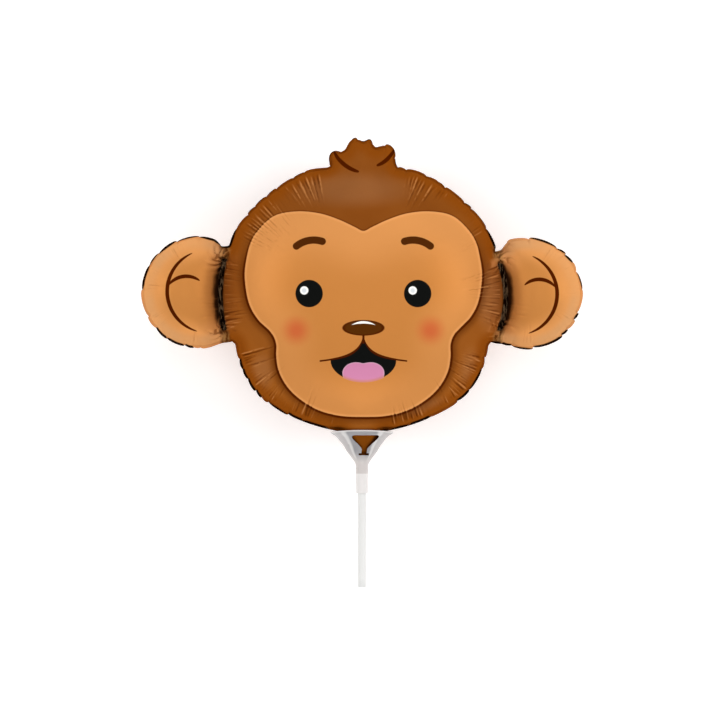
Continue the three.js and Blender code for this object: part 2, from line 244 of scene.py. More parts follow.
@dataclass(frozen=True)
class Ink:
    """A printed colour, as the three numbers from 0 to 255 that a screen shows it with."""

    red: float
    green: float
    blue: float

    @property
    def linear(self) -> tuple[float, float, float, float]:
        """The colour as a shader takes it.

        Returns:
            Red, green, blue and 1, as shares of light.
        """
        low, slope, bend, power = 0.04045, 12.92, 0.055, 2.4
        shares = [value / 255 for value in (self.red, self.green, self.blue)]
        parts = (s / slope if s <= low else ((s + bend) / (1 + bend)) ** power for s in shares)
        return (*parts, 1.0)


@dataclass(frozen=True)
class Step:
    """A step over a value, from 0 where it starts to its full strength where it ends."""

    start: float
    end: float
    strength: float = 1.0

    def ramp(self, value: np.ndarray) -> np.ndarray:
        """The step at each of many values, rising evenly."""
        return self.strength * np.clip((value - self.start) / (self.end - self.start), 0, 1)


@dataclass(frozen=True)
class Clouds:
    """Random clouds: how many to a unit, their finer layers, and a stretch along y below 1."""

    scale: float
    detail: float = 2.0
    stretch: float = 1.0


@dataclass(frozen=True)
class Finish:
    """What a surface does with light, the same all over it."""

    roughness: float
    specular: float = 0.5
    ior: float = 1.45
    tint: tuple[float, float, float, float] = (1.0, 1.0, 1.0, 1.0)
    metallic: float = 0.0
    alpha: float = 1.0


class Shader:
    """A material, and the ways that its nodes are made."""

    MIX_FACTOR, MIX_FIRST, MIX_SECOND, MIX_RESULT = 0, 6, 7, 2

    def __init__(self, name: str, finish: Finish) -> None:
        """Makes the material with its one surface shader.

        Args:
            name: The material's name.
            finish: The values that are the same all over it.
        """
        self.material = bpy.data.materials.new(name)
        self.material.use_nodes = True
        self.tree = self.material.node_tree
        self.surface = self.tree.nodes["Principled BSDF"]
        for socket, value in (
            ("Roughness", finish.roughness),
            ("Specular IOR Level", finish.specular),
            ("IOR", finish.ior),
            ("Specular Tint", finish.tint),
            ("Metallic", finish.metallic),
            ("Alpha", finish.alpha),
        ):
            self.set(socket, value)

    def set(self, name: str, value: "Socket | float | tuple[float, ...]") -> None:
        """Gives a socket of the surface shader its value.

        Args:
            name: The socket's name.
            value: A number or colour, or what varies over the surface.
        """
        self._feed(self.surface.inputs[name], value)

    def _feed(
        self, socket: bpy.types.NodeSocket, value: "Socket | float | tuple[float, ...]"
    ) -> None:
        """Links or sets one input.

        Args:
            socket: The input.
            value: What it is given.
        """
        if isinstance(value, Socket):
            self.tree.links.new(value.output, socket)
        else:
            socket.default_value = value

    def node(
        self,
        kind: str,
        settings: dict[str, object] | None = None,
        inputs: dict[int | str, object] | None = None,
        output: int | str = 0,
    ) -> Socket:
        """Adds a node.

        Args:
            kind: The node's type.
            settings: Its own settings, which are set first.
            inputs: A value or a link for each input that isn't left as it is.
            output: The output that is wanted.

        Returns:
            That output.
        """
        made = self.tree.nodes.new(kind)
        for name, value in (settings or {}).items():
            setattr(made, name, value)
        for name, value in (inputs or {}).items():
            self._feed(made.inputs[name], value)
        return Socket(self, made.outputs[output])

    def maths(self, operation: str, *values: "Socket | float") -> Socket:
        """One step of arithmetic.

        Args:
            operation: Blender's name of it.
            *values: Its one or two operands.

        Returns:
            The result.
        """
        return self.node("ShaderNodeMath", {"operation": operation}, dict(enumerate(values)))

    def rise(self, value: Socket, step: Step) -> Socket:
        """A smooth step.

        Args:
            value: What the step follows.
            step: Where it starts and ends, and its strength.

        Returns:
            Its height at the value.
        """
        settings = {"interpolation_type": "SMOOTHSTEP", "clamp": True}
        inputs = {"Value": value, "From Min": step.start, "From Max": step.end}
        inputs["To Max"] = step.strength
        return self.node("ShaderNodeMapRange", settings, inputs)

    def mix(self, factor: Socket, first: object, second: object) -> Socket:
        """One colour over another.

        Args:
            factor: How much of the second shows.
            first: The colour or ink beneath.
            second: The colour or ink on top.

        Returns:
            The mixed colour.
        """
        pair = [c.linear if isinstance(c, Ink) else c for c in (first, second)]
        inputs = {self.MIX_FACTOR: factor, self.MIX_FIRST: pair[0], self.MIX_SECOND: pair[1]}
        return self.node("ShaderNodeMix", {"data_type": "RGBA"}, inputs, self.MIX_RESULT)

    def dim(self, colour: Socket, shares: tuple[float, float, float]) -> Socket:
        """A colour with each of its three parts lowered to a share of it.

        Args:
            colour: The colour.
            shares: The shares of red, green and blue that are left.

        Returns:
            The darker colour.
        """
        inputs = {0: colour, 1: shares}
        return self.node("ShaderNodeVectorMath", {"operation": "MULTIPLY"}, inputs)

    def attribute(self, name: str) -> Socket:
        """A number that the mesh carries.

        Args:
            name: The attribute's name.

        Returns:
            Its value.
        """
        return self.node("ShaderNodeAttribute", {"attribute_name": name}, output="Fac")

    def noise(self, vector: Socket, clouds: Clouds) -> Socket:
        """Clouds from 0 to 1.

        Args:
            vector: Where on the surface.
            clouds: Their size, detail and stretch.

        Returns:
            Their value.
        """
        if clouds.stretch < 1:
            drawn = {"Vector": vector, "Scale": (1, clouds.stretch, 1)}
            vector = self.node("ShaderNodeMapping", None, drawn)
        inputs = {"Vector": vector, "Scale": clouds.scale, "Detail": clouds.detail}
        return self.node("ShaderNodeTexNoise", None, inputs, "Fac")

    def bump(self, height: Socket, distance: float, strength: float = 1.0) -> None:
        """Gives the surface a low relief.

        Args:
            height: The relief from 0 to 1.
            distance: The height in millimetres that 1 stands for.
            strength: How much of it shows.
        """
        inputs = {"Height": height, "Distance": distance * MM, "Strength": strength}
        self.set("Normal", self.node("ShaderNodeBump", None, inputs))


# The flat pattern


def smooth_curve(corners: np.ndarray, closed: bool, step: float) -> np.ndarray:
    """An even row of points along a centripetal curve through the corners.

    Args:
        corners: The points that it goes through.
        closed: Whether its end runs on into its start.
        step: The distance from point to point.

    Returns:
        The points, one to a row.
    """
    if closed:
        p = np.vstack([corners[-1], corners, corners[0], corners[1]])
    else:
        p = np.vstack([2 * corners[0] - corners[1], corners, 2 * corners[-1] - corners[-2]])
    before, start, end, after = p[:-3], p[1:-2], p[2:-1], p[3:]
    gaps = np.linalg.norm(np.diff(p, axis=0), axis=1)[:, None] ** 0.5
    g0, g1, g2 = gaps[:-2], gaps[1:-1], gaps[2:]
    leave = g1 * ((start - before) / g0 - (end - before) / (g0 + g1) + (end - start) / g1)
    reach = g1 * ((end - start) / g1 - (after - start) / (g1 + g2) + (after - end) / g2)
    spans = 24
    t = (np.arange(spans) / spans)[None, :, None]
    a, b = start[:, None], end[:, None]
    m, n = leave[:, None], reach[:, None]
    rows = a + t * m + t**2 * (3 * (b - a) - 2 * m - n) + t**3 * (2 * (a - b) + m + n)
    points = rows.reshape(-1, 2)
    if not closed:
        points = np.vstack([points, corners[-1]])
    return even_steps(points, closed, step)


def even_steps(points: np.ndarray, closed: bool, step: float) -> np.ndarray:
    """Points at an even step along a line.

    Args:
        points: The corners of the line.
        closed: Whether its end runs on into its start.
        step: The distance from point to point.

    Returns:
        The new points.
    """
    ring = np.vstack([points, points[:1]]) if closed else points
    run = np.concatenate([[0], np.cumsum(np.linalg.norm(np.diff(ring, axis=0), axis=1))])
    count = round(run[-1] / step)
    wanted = np.linspace(0, run[-1], count + 1)[: count if closed else count + 1]
    return np.column_stack([np.interp(wanted, run, ring[:, k]) for k in (0, 1)])


class Side(Enum):
    """A side of the head, as the viewer sees it."""

    RIGHT = 1
    LEFT = -1


@dataclass(frozen=True)
class Ear:
    """Where one ear is, in shares of the head's half height and of the ear's radius.

    The bow of the weld at its root is in millimetres.
    """

    side: Side
    rise: float
    web_up: float
    web_down: float
    weld_bow: float


class SeamLine:
    """A closed line of points that the two sheets are welded along, with the foil on its left."""

    def __init__(self, points: np.ndarray, width: float, start: float) -> None:
        """Takes the line and gets its steps and normals.

        Args:
            points: The points along it.
            width: How far the weld reaches in from it.
            start: The number that its own lengths are counted on from.
        """
        self.points = points
        self.width = width
        edges = np.roll(points, -1, axis=0) - points
        lengths = np.linalg.norm(edges, axis=1)
        self.places = start + np.concatenate([[0], np.cumsum(lengths)[:-1]])
        along = np.roll(points, -1, axis=0) - np.roll(points, 1, axis=0)
        along /= np.linalg.norm(along, axis=1)[:, None]
        self.normals = np.column_stack([-along[:, 1], along[:, 0]])
        self.tree = kdtree.KDTree(len(points))
        for i, (x, y) in enumerate(points):
            self.tree.insert((x, y, 0), i)
        self.tree.balance()

    def inset(self, depth: float) -> np.ndarray:
        """The line moved in by a depth past the weld."""
        return self.points + self.normals * (self.width + depth)

    def hollows(self, reach: int = 5) -> np.ndarray:
        """How sharply the line bends away from the foil round each of its points.

        Args:
            reach: How many points to each side are looked at.

        Returns:
            A share for each point, 1 at a sharp inward corner.
        """
        before, after = (np.roll(self.normals, k, axis=0) for k in (reach, -reach))
        turn = before[:, 0] * after[:, 1] - before[:, 1] * after[:, 0]
        sharpest = 1.6  # how many times over a turn is counted, so that a corner reaches 1
        sharp = np.clip(-sharpest * turn, 0, 1)
        return np.max([np.roll(sharp, k) for k in range(-reach, reach + 1)], axis=0)

    def nearest(self, places: np.ndarray) -> tuple[np.ndarray, np.ndarray, np.ndarray]:
        """Finds where each place is from the line.

        Args:
            places: The places x and y, one to a row.

        Returns:
            The depth past the weld, the length along the line and the index of its point.
        """
        index = np.array([self.tree.find((x, y, 0))[1] for x, y in places])
        best = np.full(len(places), np.inf)
        along = np.zeros(len(places))
        count = len(self.points)
        for first in ((index - 1) % count, index):
            a, b = self.points[first], self.points[(first + 1) % count]
            edge = b - a
            share = (((places - a) * edge).sum(1) / (edge**2).sum(1)).clip(0, 1)
            gap = np.linalg.norm(places - a - share[:, None] * edge, axis=1)
            closer = gap < best
            best[closer] = gap[closer]
            length = np.linalg.norm(edge, axis=1)
            along[closer] = (self.places[first] + share * length)[closer]
        side = ((places - self.points[index]) * self.normals[index]).sum(1)
        return np.where(side < 0, -best, best) - self.width, along, index


@dataclass
class FlatPattern:
    """The shape that both foil sheets are cut to, seen from the front."""

    half_width: float = 93.5
    half_height: float = 93.2
    head: tuple[tuple[float, float], ...] = (
        (0, 0.965), (0.24, 0.945), (0.425, 0.905), (0.65, 0.772), (0.8, 0.642), (0.905, 0.505),
        (0.975, 0.35), (1, 0.13), (0.99, -0.1), (0.932, -0.32), (0.888, -0.5), (0.825, -0.635),
        (0.712, -0.765), (0.57, -0.852), (0.385, -0.932), (0.18, -0.985), (0, -1),
    )  # fmt: skip
    tuft: tuple[tuple[float, float], ...] = (
        (0.263, -0.055), (0.245, -0.028), (0.249, 0.021), (0.232, 0.075), (0.18, 0.11),
        (0.124, 0.091), (0.094, 0.081), (0.077, 0.119), (0.057, 0.148), (0.032, 0.137),
        (0.009, 0.128), (-0.016, 0.144), (-0.041, 0.16), (-0.073, 0.144), (-0.103, 0.105),
        (-0.124, 0.07), (-0.154, 0.061), (-0.193, 0.064), (-0.226, 0.047), (-0.241, 0.002),
        (-0.235, -0.039), (-0.255, -0.059),
    )  # fmt: skip
    ears: tuple[Ear, ...] = (
        Ear(Side.RIGHT, 0.0193, 0.772, 0.898, 4.2),
        Ear(Side.LEFT, 0.0268, 0.835, 0.911, 2.7),
    )
    ear_radius: float = 38.1
    ear_standoff: float = 18.4
    ear_arc: float = 109.0
    web_length: float = 4.4
    weld_end_gap: float = 9.5
    weld_half_width: float = 1.1
    weld_rows: int = 25
    least_bow: float = -0.4
    flange_width: float = 2.2
    seam_width: float = 1.7
    neck_top_half_width: float = 14.0
    neck_end_half_width: float = 3.4
    neck_end: float = -112.2
    patch_inset: float = 0.7
    coarse_step: float = 0.8
    fine_step: float = 0.62
    corner_softness: float = 1.1

    def ear_curve(self, ear: Ear) -> np.ndarray:
        """One ear with its web, anticlockwise from notch to notch.

        Args:
            ear: Which ear.

        Returns:
            Its points.
        """
        middle = ear.rise * self.half_height
        web_end = self.half_width + (self.web_length - self.flange_width) / 2
        web_start = web_end - self.web_length
        top = middle + ear.web_up * self.ear_radius
        bottom = middle - ear.web_down * self.ear_radius
        arc = math.radians(self.ear_arc)
        a = np.linspace(-arc, arc, round(2 * arc * self.ear_radius / self.coarse_step))
        across = self.half_width + self.ear_standoff + self.ear_radius * np.cos(a)
        lobe = np.column_stack([across, middle + self.ear_radius * np.sin(a)])
        corners = ([web_start, bottom], [web_end, bottom]), ([web_end, top], [web_start, top])
        points = np.vstack([corners[0], lobe, corners[1]]) * (ear.side.value, 1)
        return points if ear.side is Side.RIGHT else points[::-1]

    def outline(self) -> np.ndarray:
        """The whole edge of the foil, anticlockwise from the bottom.

        Returns:
            Its points at the fine step.
        """
        right = np.array(self.head)[::-1] * (self.half_width, self.half_height)
        left = right[1:-1][::-1] * (-1, 1)
        head = smooth_curve(np.vstack([right, left]), True, self.coarse_step)
        tuft_corners = np.array(self.tuft) * self.half_width + (0, self.half_height)
        tuft = smooth_curve(tuft_corners, False, self.coarse_step)
        neck = np.array([[-1, 1], [1, 1]]) * (self.neck_end_half_width, self.neck_end)
        x, y = head.T
        parts = [
            ((y < 0) & (abs(x) < self.neck_top_half_width), neck),
            ((y > 0) & (x < tuft[0, 0]) & (x > tuft[-1, 0]), tuft),
        ]
        for ear in self.ears:
            curve = self.ear_curve(ear)
            low, high = sorted(curve[[0, -1], 1])
            parts.append(((ear.side.value * x > 0) & (y > low) & (y < high), curve))
        rows, used = [], set()
        for i, place in enumerate(head):
            covering = [k for k, (covers, _) in enumerate(parts) if covers[i]]
            if not covering:
                rows.append(place[None])
            elif covering[0] not in used:
                used.add(covering[0])
                rows.append(parts[covering[0]][1])
        even = even_steps(np.vstack(rows), True, self.coarse_step)
        return even_steps(self.soften(even), True, self.fine_step)

    def soften(self, points: np.ndarray) -> np.ndarray:
        """Rounds the corners of a closed line with a bell-shaped average.

        Args:
            points: The line at the coarse step.

        Returns:
            The rounded line.
        """
        span = math.ceil(3 * self.corner_softness / self.coarse_step)
        reach = range(-span, span + 1)
        weights = [
            math.exp(-0.5 * (k * self.coarse_step / self.corner_softness) ** 2) for k in reach
        ]
        moved = (w * np.roll(points, -k, axis=0) for k, w in zip(reach, weights))
        return sum(moved) / sum(weights)

    def root(self, ear: Ear) -> tuple[float, float]:
        """The middle and the half length of the line at an ear's root."""
        middle = ear.rise * self.half_height + (ear.web_up - ear.web_down) / 2 * self.ear_radius
        return middle, (ear.web_up + ear.web_down) / 2 * self.ear_radius

    def root_weld(self, ear: Ear) -> np.ndarray:
        """The weld at an ear's root, as a thin loop with its left side outwards.

        Args:
            ear: Which ear.

        Returns:
            Its points at the fine step.
        """
        middle, half = self.root(ear)
        y = middle + np.linspace(-1, 1, self.weld_rows) * (half - self.weld_end_gap)
        row = np.column_stack([ear.side.value * self.root_reach(ear, y), y])
        shift = (self.weld_half_width, 0)
        return even_steps(np.vstack([row - shift, row[::-1] + shift]), True, self.fine_step)

    def root_reach(self, ear: Ear, y: np.ndarray) -> np.ndarray:
        """How far out an ear's root is at each height.

        Args:
            ear: Which ear.
            y: The heights.

        Returns:
            The distance from the middle of the head.
        """
        middle, half = self.root(ear)
        bow = 1 - ((y - middle) / (half - self.weld_end_gap)) ** 2
        return self.half_width + ear.weld_bow * np.maximum(bow, self.least_bow)

    def face_patch(self) -> np.ndarray:
        """The edge of the pale patch behind the face, anticlockwise.

        Returns:
            Its points at the fine step.
        """
        half = np.array(FACE_PATCH)
        points = np.vstack([half[::-1], half[1:-1] * (-1, 1)])
        return smooth_curve(points + (FACE_AXIS, 0), True, self.fine_step)


# The inflated balloon


@dataclass(frozen=True)
class Oval:
    """An oval on the flat pattern, by its middle and its half sizes."""

    x: float
    y: float
    half_width: float
    half_height: float

    def share(self, places: np.ndarray) -> np.ndarray:
        """How much each place is in the oval, 1 in its middle and fading past its edge."""
        off = (places - (self.x, self.y)) / (self.half_width, self.half_height)
        return np.exp(-((off**2).sum(1) ** 2))


@dataclass(frozen=True)
class Gathers:
    """The folds that the foil draws into, square to a weld, as the weld is pulled shorter.

    Lengths are in millimetres. The shares are of the folds' mean length, half width and height.
    """

    seed: int
    spacing: float = 2.1
    spread: float = 0.35
    height: float = 0.62
    half_width: float = 0.62
    start: float = 3.5
    length: float = 12.0
    slant: float = 0.12
    lip: float = 0.8
    group_length: float = 34.0
    grouping: float = 0.45
    evenness: float = 0.0
    length_shares: tuple[float, float] = (0.7, 0.8)
    width_shares: tuple[float, float] = (0.8, 0.3)
    least_height: float = 0.25
    second_group: float = 1.7
    sharpness: float = 1.5
    lip_place: float = 1.7

    def relief(
        self, along: np.ndarray, depth: np.ndarray, weight: np.ndarray, shift: int
    ) -> np.ndarray:
        """How far the foil is drawn in at each place.

        Args:
            along: Each place's length along the weld.
            depth: Its depth past the weld.
            weight: How strongly the foil is gathered there.
            shift: What is added to the seed.

        Returns:
            The relief in millimetres, below 0 in a fold and above 0 on the lip beside it.
        """
        draw = np.random.default_rng(self.seed + shift)
        low, high = along.min(), along.max()
        relief = np.zeros(len(along))
        middle = low
        phase, second_phase = 2 * math.pi * draw.random(2)
        while middle < high:
            size, reach, lean = draw.random(3)
            size += self.evenness * (0.5 - size)
            turn = 2 * math.pi * middle / self.group_length
            group = math.sin(turn + phase) + math.sin(self.second_group * turn + second_phase)
            size = max(0.0, size + self.grouping * group)
            middle += self.spacing * (1 + self.spread * (2 * draw.random() - 1))
            length = self.length * (self.length_shares[0] + self.length_shares[1] * reach)
            width = self.half_width * (self.width_shares[0] + self.width_shares[1] * size)
            near = (abs(along - middle) < 5 * width + self.slant * length) & (depth < 2 * length)
            off = along[near] - middle - self.slant * (2 * lean - 1) * depth[near]
            rise = np.clip(depth[near] / self.start, 0, 1) ** 1.5
            fade = np.exp(-((depth[near] / length) ** 2))
            lip_side = math.copysign(self.lip_place, lean - 0.5)
            fold = self.lip * np.exp(-abs(off / width - lip_side) ** self.sharpness)
            fold -= np.exp(-abs(off / width) ** self.sharpness)
            relief[near] += self.height * (self.least_height + size) * rise * fade * fold
        return relief * weight


@dataclass
class FoilEnvelope:
    """The balloon: two printed foil sheets, welded round the edge and blown up."""

    cup: "Cup"
    pattern: FlatPattern = field(default_factory=FlatPattern)
    weld_half_thickness: float = 0.25
    puff_power: float = 1.4
    ring_depths: tuple[float, ...] = (
        -0.4, 0.0, 0.6, 1.4, 2.3, 3.3, 4.4, 5.6, 6.9, 8.3, 9.8, 11.4, 13.1, 14.9, 16.8, 18.8,
        20.9, 23.1, 25.4,
    )  # fmt: skip
    ring_trueness: float = 0.93
    ring_cell: float = 0.44
    ring_cell_growth: float = 0.02
    grid_step: float = 1.7
    grid_half_sizes: tuple[float, float] = (1.7, 1.3)
    grid_clearance: float = 0.6
    held_depth: float = 0.05
    facet_length: float = 12.0
    facet_shares: tuple[float, float] = (0.45, 1.4)
    facet_step: float = 1.5
    nick_depth: float = 0.7
    nick_half_length: float = 1.5
    # The edge is painted dark in lengths, some left bare: painted shade and dark reflection of the
    # turned flange.
    bare_share: float = 0.25
    dark_widths: tuple[float, float] = (0.9, 1.4)
    dark_ends: float = 0.45
    dark_most: float = 1.6
    dark_lost_on_top: Step = Step(38, 50, 0.75)
    dark_gained_below: Step = Step(-10, -30, 0.4)
    pucker_height: float = 1.5
    pucker_reach: float = 8.0
    pucker_count: float = 5.0
    pucker_twist: float = 0.45
    pucker_floor: float = 0.6
    off_weld_end: Step = Step(0, 2)
    off_edge: Step = Step(0, 3)
    onto_ear: Step = Step(-3, 3, 0.6)
    normal_share: float = 0.4
    normal_reach: float = 5.0
    ruffle: float = 0.9
    ruffle_reach: float = 4.0
    ruffle_start: Step = Step(-86, -80)
    wave_lengths: tuple[float, ...] = (9, 13, 19, 31)
    wave_seed: int = 5
    edge_folds: Gathers = Gathers(20)
    root_folds: Gathers = Gathers(
        20, 1.6, 0.3, 0.6, 0.5, start=1.5, length=10, group_length=60
    )
    fine_folds: Gathers = Gathers(
        70, 2.2, 0.35, 0.45, 0.62, start=8, length=20, grouping=0.2
    )
    fine_ear_length: float = 30.0
    comb: Gathers = Gathers(
        110, 3.0, 0.15, 0.95, 0.74, start=6, length=18, slant=0.06, lip=0.9,
        grouping=0, evenness=0.6,
    )  # fmt: skip
    fan: Gathers = Gathers(
        120, 2.8, 0.2, 1.0, 0.7, start=9, length=27, slant=0.06, lip=0.9,
        grouping=0, evenness=0.6,
    )  # fmt: skip
    edge_weights: tuple[float, float, float] = (0.3, 0.1, 0.55)
    ear_weight: float = 0.25
    fine_weight: float = 0.06
    onto_head: Step = Step(100, 92)
    off_notch: Step = Step(12, 20)
    off_notch_fan: Step = Step(9, 17)
    below_tuft: Step = Step(92, 84)
    above_neck: Step = Step(-94, -86)
    lower_half: Step = Step(-20, -60, 0.25)
    gathered: tuple[Oval, ...] = (
        Oval(-70, -42, 22, 17),
        Oval(72, -54, 20, 22),
        Oval(28, -84, 22, 12),
    )
    combed: tuple[Oval, ...] = (Oval(-32, 73, 19, 14), Oval(31, 72, 18, 15))
    fanned: tuple[Oval, ...] = (Oval(-66, 44, 22, 22), Oval(75, 16, 15, 20))
    cup_fit: float = 0.4
    seed: int = 11

    def lay_out(self) -> None:
        """Spreads points over the pattern, closest together along the welds."""
        outline = SeamLine(self.pattern.outline(), self.pattern.seam_width, 0)
        loops = [SeamLine(self.pattern.root_weld(ear), 0, 0) for ear in self.pattern.ears]
        self.lines = [outline, *loops]
        rows = [line.points for line in self.lines]
        for depth in self.ring_depths:
            lines = self.lines if depth >= self.ring_depths[2] else self.lines[:1]
            ring = np.vstack([line.inset(depth) for line in lines])
            slack = (1 - self.ring_trueness) * (depth + self.pattern.flange_width)
            ring = ring[self.depths(ring) > depth - slack]
            cell = self.ring_cell + self.ring_cell_growth * max(depth, 0)
            _, first = np.unique(np.floor(ring / cell), axis=0, return_index=True)
            rows.append(ring[np.sort(first)])
        row_step = self.grid_step * math.sqrt(3) / 2
        across, up = self.grid_half_sizes
        reach_y = math.ceil(up * self.pattern.half_height / row_step)
        reach_x = math.ceil(across * self.pattern.half_width / self.grid_step)
        j, i = np.mgrid[-reach_y : reach_y + 1, -reach_x : reach_x + 1]
        x = (i + (j % 2) / 2) * self.grid_step
        grid = np.column_stack([x.ravel(), (j * row_step).ravel()])
        inner = self.ring_depths[-1] + self.grid_clearance * self.grid_step
        rows.append(grid[self.depths(grid) > inner])
        points = [Vector(place) for place in np.vstack(rows)]
        count = len(outline.points)
        edges = [(k, (k + 1) % count) for k in range(count)]
        only_inside, merging = 1, 1e-6
        found = geometry.delaunay_2d_cdt(points, edges, [], only_inside, merging)
        self.places = np.array([tuple(v) for v in found[0]])
        self.triangles = np.array(found[2])
        nearest = [line.nearest(self.places) for line in self.lines]
        depth = np.array([n[0] for n in nearest])
        self.owner = depth.argmin(0)
        self.depth = depth.min(0)
        self.along = np.array([n[1] for n in nearest])
        self.edge_depth = depth[0] + self.pattern.seam_width
        self.inward = outline.normals[nearest[0][2]]
        self.hollow = outline.hollows()[nearest[0][2]]

    def depths(self, places: np.ndarray) -> np.ndarray:
        """How deep each place is inside the nearest weld.

        Args:
            places: The places x and y.

        Returns:
            The depths, below 0 on a weld and outside the pattern.
        """
        return np.min([line.nearest(places)[0] for line in self.lines], axis=0)

    def pressure(self) -> np.ndarray:
        """Solves how an even pressure spreads over the pattern, held at the welds.

        Returns:
            The share of its peak at each point.
        """
        count = len(self.places)
        corner = self.places[self.triangles]
        one, two = corner[:, 1] - corner[:, 0], corner[:, 2] - corner[:, 0]
        area = abs(one[:, 0] * two[:, 1] - one[:, 1] * two[:, 0]) / 2
        load = np.bincount(self.triangles.ravel(), np.repeat(area / 3, 3), count)
        heads, tails, weights = [], [], []
        for k in range(3):
            a, b, c = (self.triangles[:, (k + m) % 3] for m in range(3))
            u, v = self.places[a] - self.places[c], self.places[b] - self.places[c]
            weight = (u * v).sum(1) / (4 * np.maximum(area, 1e-9))
            heads += [a, b]
            tails += [b, a]
            weights += [weight, weight]
        head, tail, weight = (np.concatenate(rows) for rows in (heads, tails, weights))
        free = self.depth > self.held_depth
        inside = free[head]
        head, tail, weight = head[inside], tail[inside], weight[inside]
        stiffness = np.bincount(head, weight, count) + ~free

        def pull(field: np.ndarray) -> np.ndarray:
            """The load that holds a field in place."""
            spread = np.bincount(head, weight * field[tail], count)
            return np.where(free, stiffness * field - spread, 0)

        field = np.zeros(count)
        rest = np.where(free, load, 0)
        step = rest / stiffness
        energy = rest @ step
        tolerance = 1e-10 * (load @ load)
        while energy > tolerance:
            answer = pull(step)
            share = energy / (step @ answer)
            field += share * step
            rest -= share * answer
            scaled = rest / stiffness
            fresh = rest @ scaled
            step = scaled + fresh / energy * step
            energy = fresh
        return field / field.max()

    def normals(self, points: np.ndarray) -> np.ndarray:
        """The upward normals of a skin.

        Args:
            points: The skin's points in space.

        Returns:
            A unit normal for each.
        """
        a, b, c = (points[self.triangles[:, k]] for k in range(3))
        face = np.cross(b - a, c - a)
        corner = self.triangles.ravel()
        parts = (np.bincount(corner, np.repeat(part, 3), len(points)) for part in face.T)
        total = np.column_stack(list(parts))
        return total / np.maximum(np.linalg.norm(total, axis=1), 1e-12)[:, None]

    def facets(self) -> tuple[np.ndarray, np.ndarray]:
        """Divides the edge of the foil into the short, slightly bowed lengths that it buckles to.

        Returns:
            For each point, how far the edge is drawn in and how wide the painted shade of the dark,
            turned flange is there.
        """
        draw = np.random.default_rng(self.seed)
        along = self.along[0]
        ends, widths, tilts = [0.0], [], []
        shortest, longer = self.facet_shares
        least, wider = self.dark_widths
        while ends[-1] < along.max():
            ends.append(ends[-1] + self.facet_length * (shortest + longer * draw.random() ** 1.5))
            dark = draw.random() > self.bare_share
            widths.append(least + wider * draw.random() if dark else 0.0)
            tilts.append(2 * draw.random() - 1)
        ends = np.array(ends)
        which = (np.searchsorted(ends, along, side="right") - 1).clip(0, len(widths) - 1)
        share = (along - ends[which]) / (ends[which + 1] - ends[which])
        gap = np.minimum(share, 1 - share) * (ends[which + 1] - ends[which])
        width = np.array(widths)[which] * np.sin(np.pi * share.clip(0, 1)) ** self.dark_ends
        y = self.places[:, 1]
        width *= 1 - self.dark_lost_on_top.ramp(y) + self.dark_gained_below.ramp(y)
        width = np.minimum(width, self.dark_most)
        inset = self.nick_depth * np.exp(-gap / self.nick_half_length)
        inset += self.facet_step * np.array(tilts)[which] * (share - 0.5)
        return inset, width

    def waves(self) -> np.ndarray:
        """A gentle random wave along the edge of the foil.

        Returns:
            Its height from about -1 to 1 at each point.
        """
        draw = np.random.default_rng(self.wave_seed)
        along, lengths = self.along[0], self.wave_lengths
        total = sum(
            math.sqrt(length / lengths[-1]) * np.sin(2 * np.pi * (along / length + draw.random()))
            for length in lengths
        )
        return total / len(lengths)

    def puckers(self) -> np.ndarray:
        """The short folds that fan out from both ends of the weld at each ear's root.

        Returns:
            Their relief in millimetres at each point.
        """
        draw = np.random.default_rng(self.seed)
        relief = np.zeros(len(self.places))
        self.end_gap = np.full(len(self.places), np.inf)
        for line in self.lines[1:]:
            order = line.points[:, 1].argsort()
            for end in line.points[order[[0, -1]]]:
                x, y = (self.places - end).T
                away = np.hypot(x, y)
                self.end_gap = np.minimum(self.end_gap, away)
                turn = self.pucker_count * np.arctan2(y, x) + self.pucker_twist * away
                turn = turn + 2 * np.pi * draw.random()
                ridge = abs(np.sin(turn)) + 0.5 * np.sin(2.3 * turn + 1) - self.pucker_floor
                fade = np.exp(-((away / self.pucker_reach) ** 2)) * self.off_weld_end.ramp(away)
                relief += self.pucker_height * ridge * fade
        on_ear = self.onto_ear.ramp(abs(self.places[:, 0]) - self.pattern.half_width)
        on_head = 1 - self.onto_ear.strength
        return relief * self.off_edge.ramp(self.edge_depth) * (on_head + on_ear)

    def creases(self, side: int) -> np.ndarray:
        """All the folds of one sheet.

        Args:
            side: 1 for the front and -1 for the back.

        Returns:
            Their relief in millimetres at each point.
        """
        relief = self.puckers()
        x, y = self.places.T
        dense = self.most(self.gathered)
        head = self.onto_head.ramp(abs(x))
        smooth = self.off_notch.ramp(self.end_gap) * (1 - self.hollow)
        smooth *= self.below_tuft.ramp(y) * self.above_neck.ramp(y)
        all_round, on_head, in_ovals = self.edge_weights
        added = on_head + self.lower_half.ramp(y) + in_ovals * dense
        strong = (all_round + added * head) * smooth
        roots = np.where(abs(x) < self.pattern.half_width, 1.0, self.ear_weight)
        fine = (self.fine_weight + dense) * head * smooth
        near_root = self.off_notch_fan.ramp(self.end_gap)
        patterned = np.where(self.owner == 0, smooth, near_root)
        for k in range(len(self.lines)):
            shift = side + 10 * k
            if k == 0:
                self.draw_in(relief, self.edge_folds, k, shift, strong, -math.inf)
                fine_folds = self.fine_folds
            else:
                self.draw_in(relief, self.root_folds, k, shift, roots, -math.inf)
                fine_folds = replace(self.fine_folds, length=self.fine_ear_length)
            self.draw_in(relief, fine_folds, k, shift, fine)
            for pleats, ovals in ((self.comb, self.combed), (self.fan, self.fanned)):
                self.draw_in(relief, pleats, k, side, self.most(ovals) * patterned)
        return relief

    def most(self, ovals: tuple[Oval, ...]) -> np.ndarray:
        """How much each point is in any of some ovals."""
        return np.max([oval.share(self.places) for oval in ovals], axis=0)

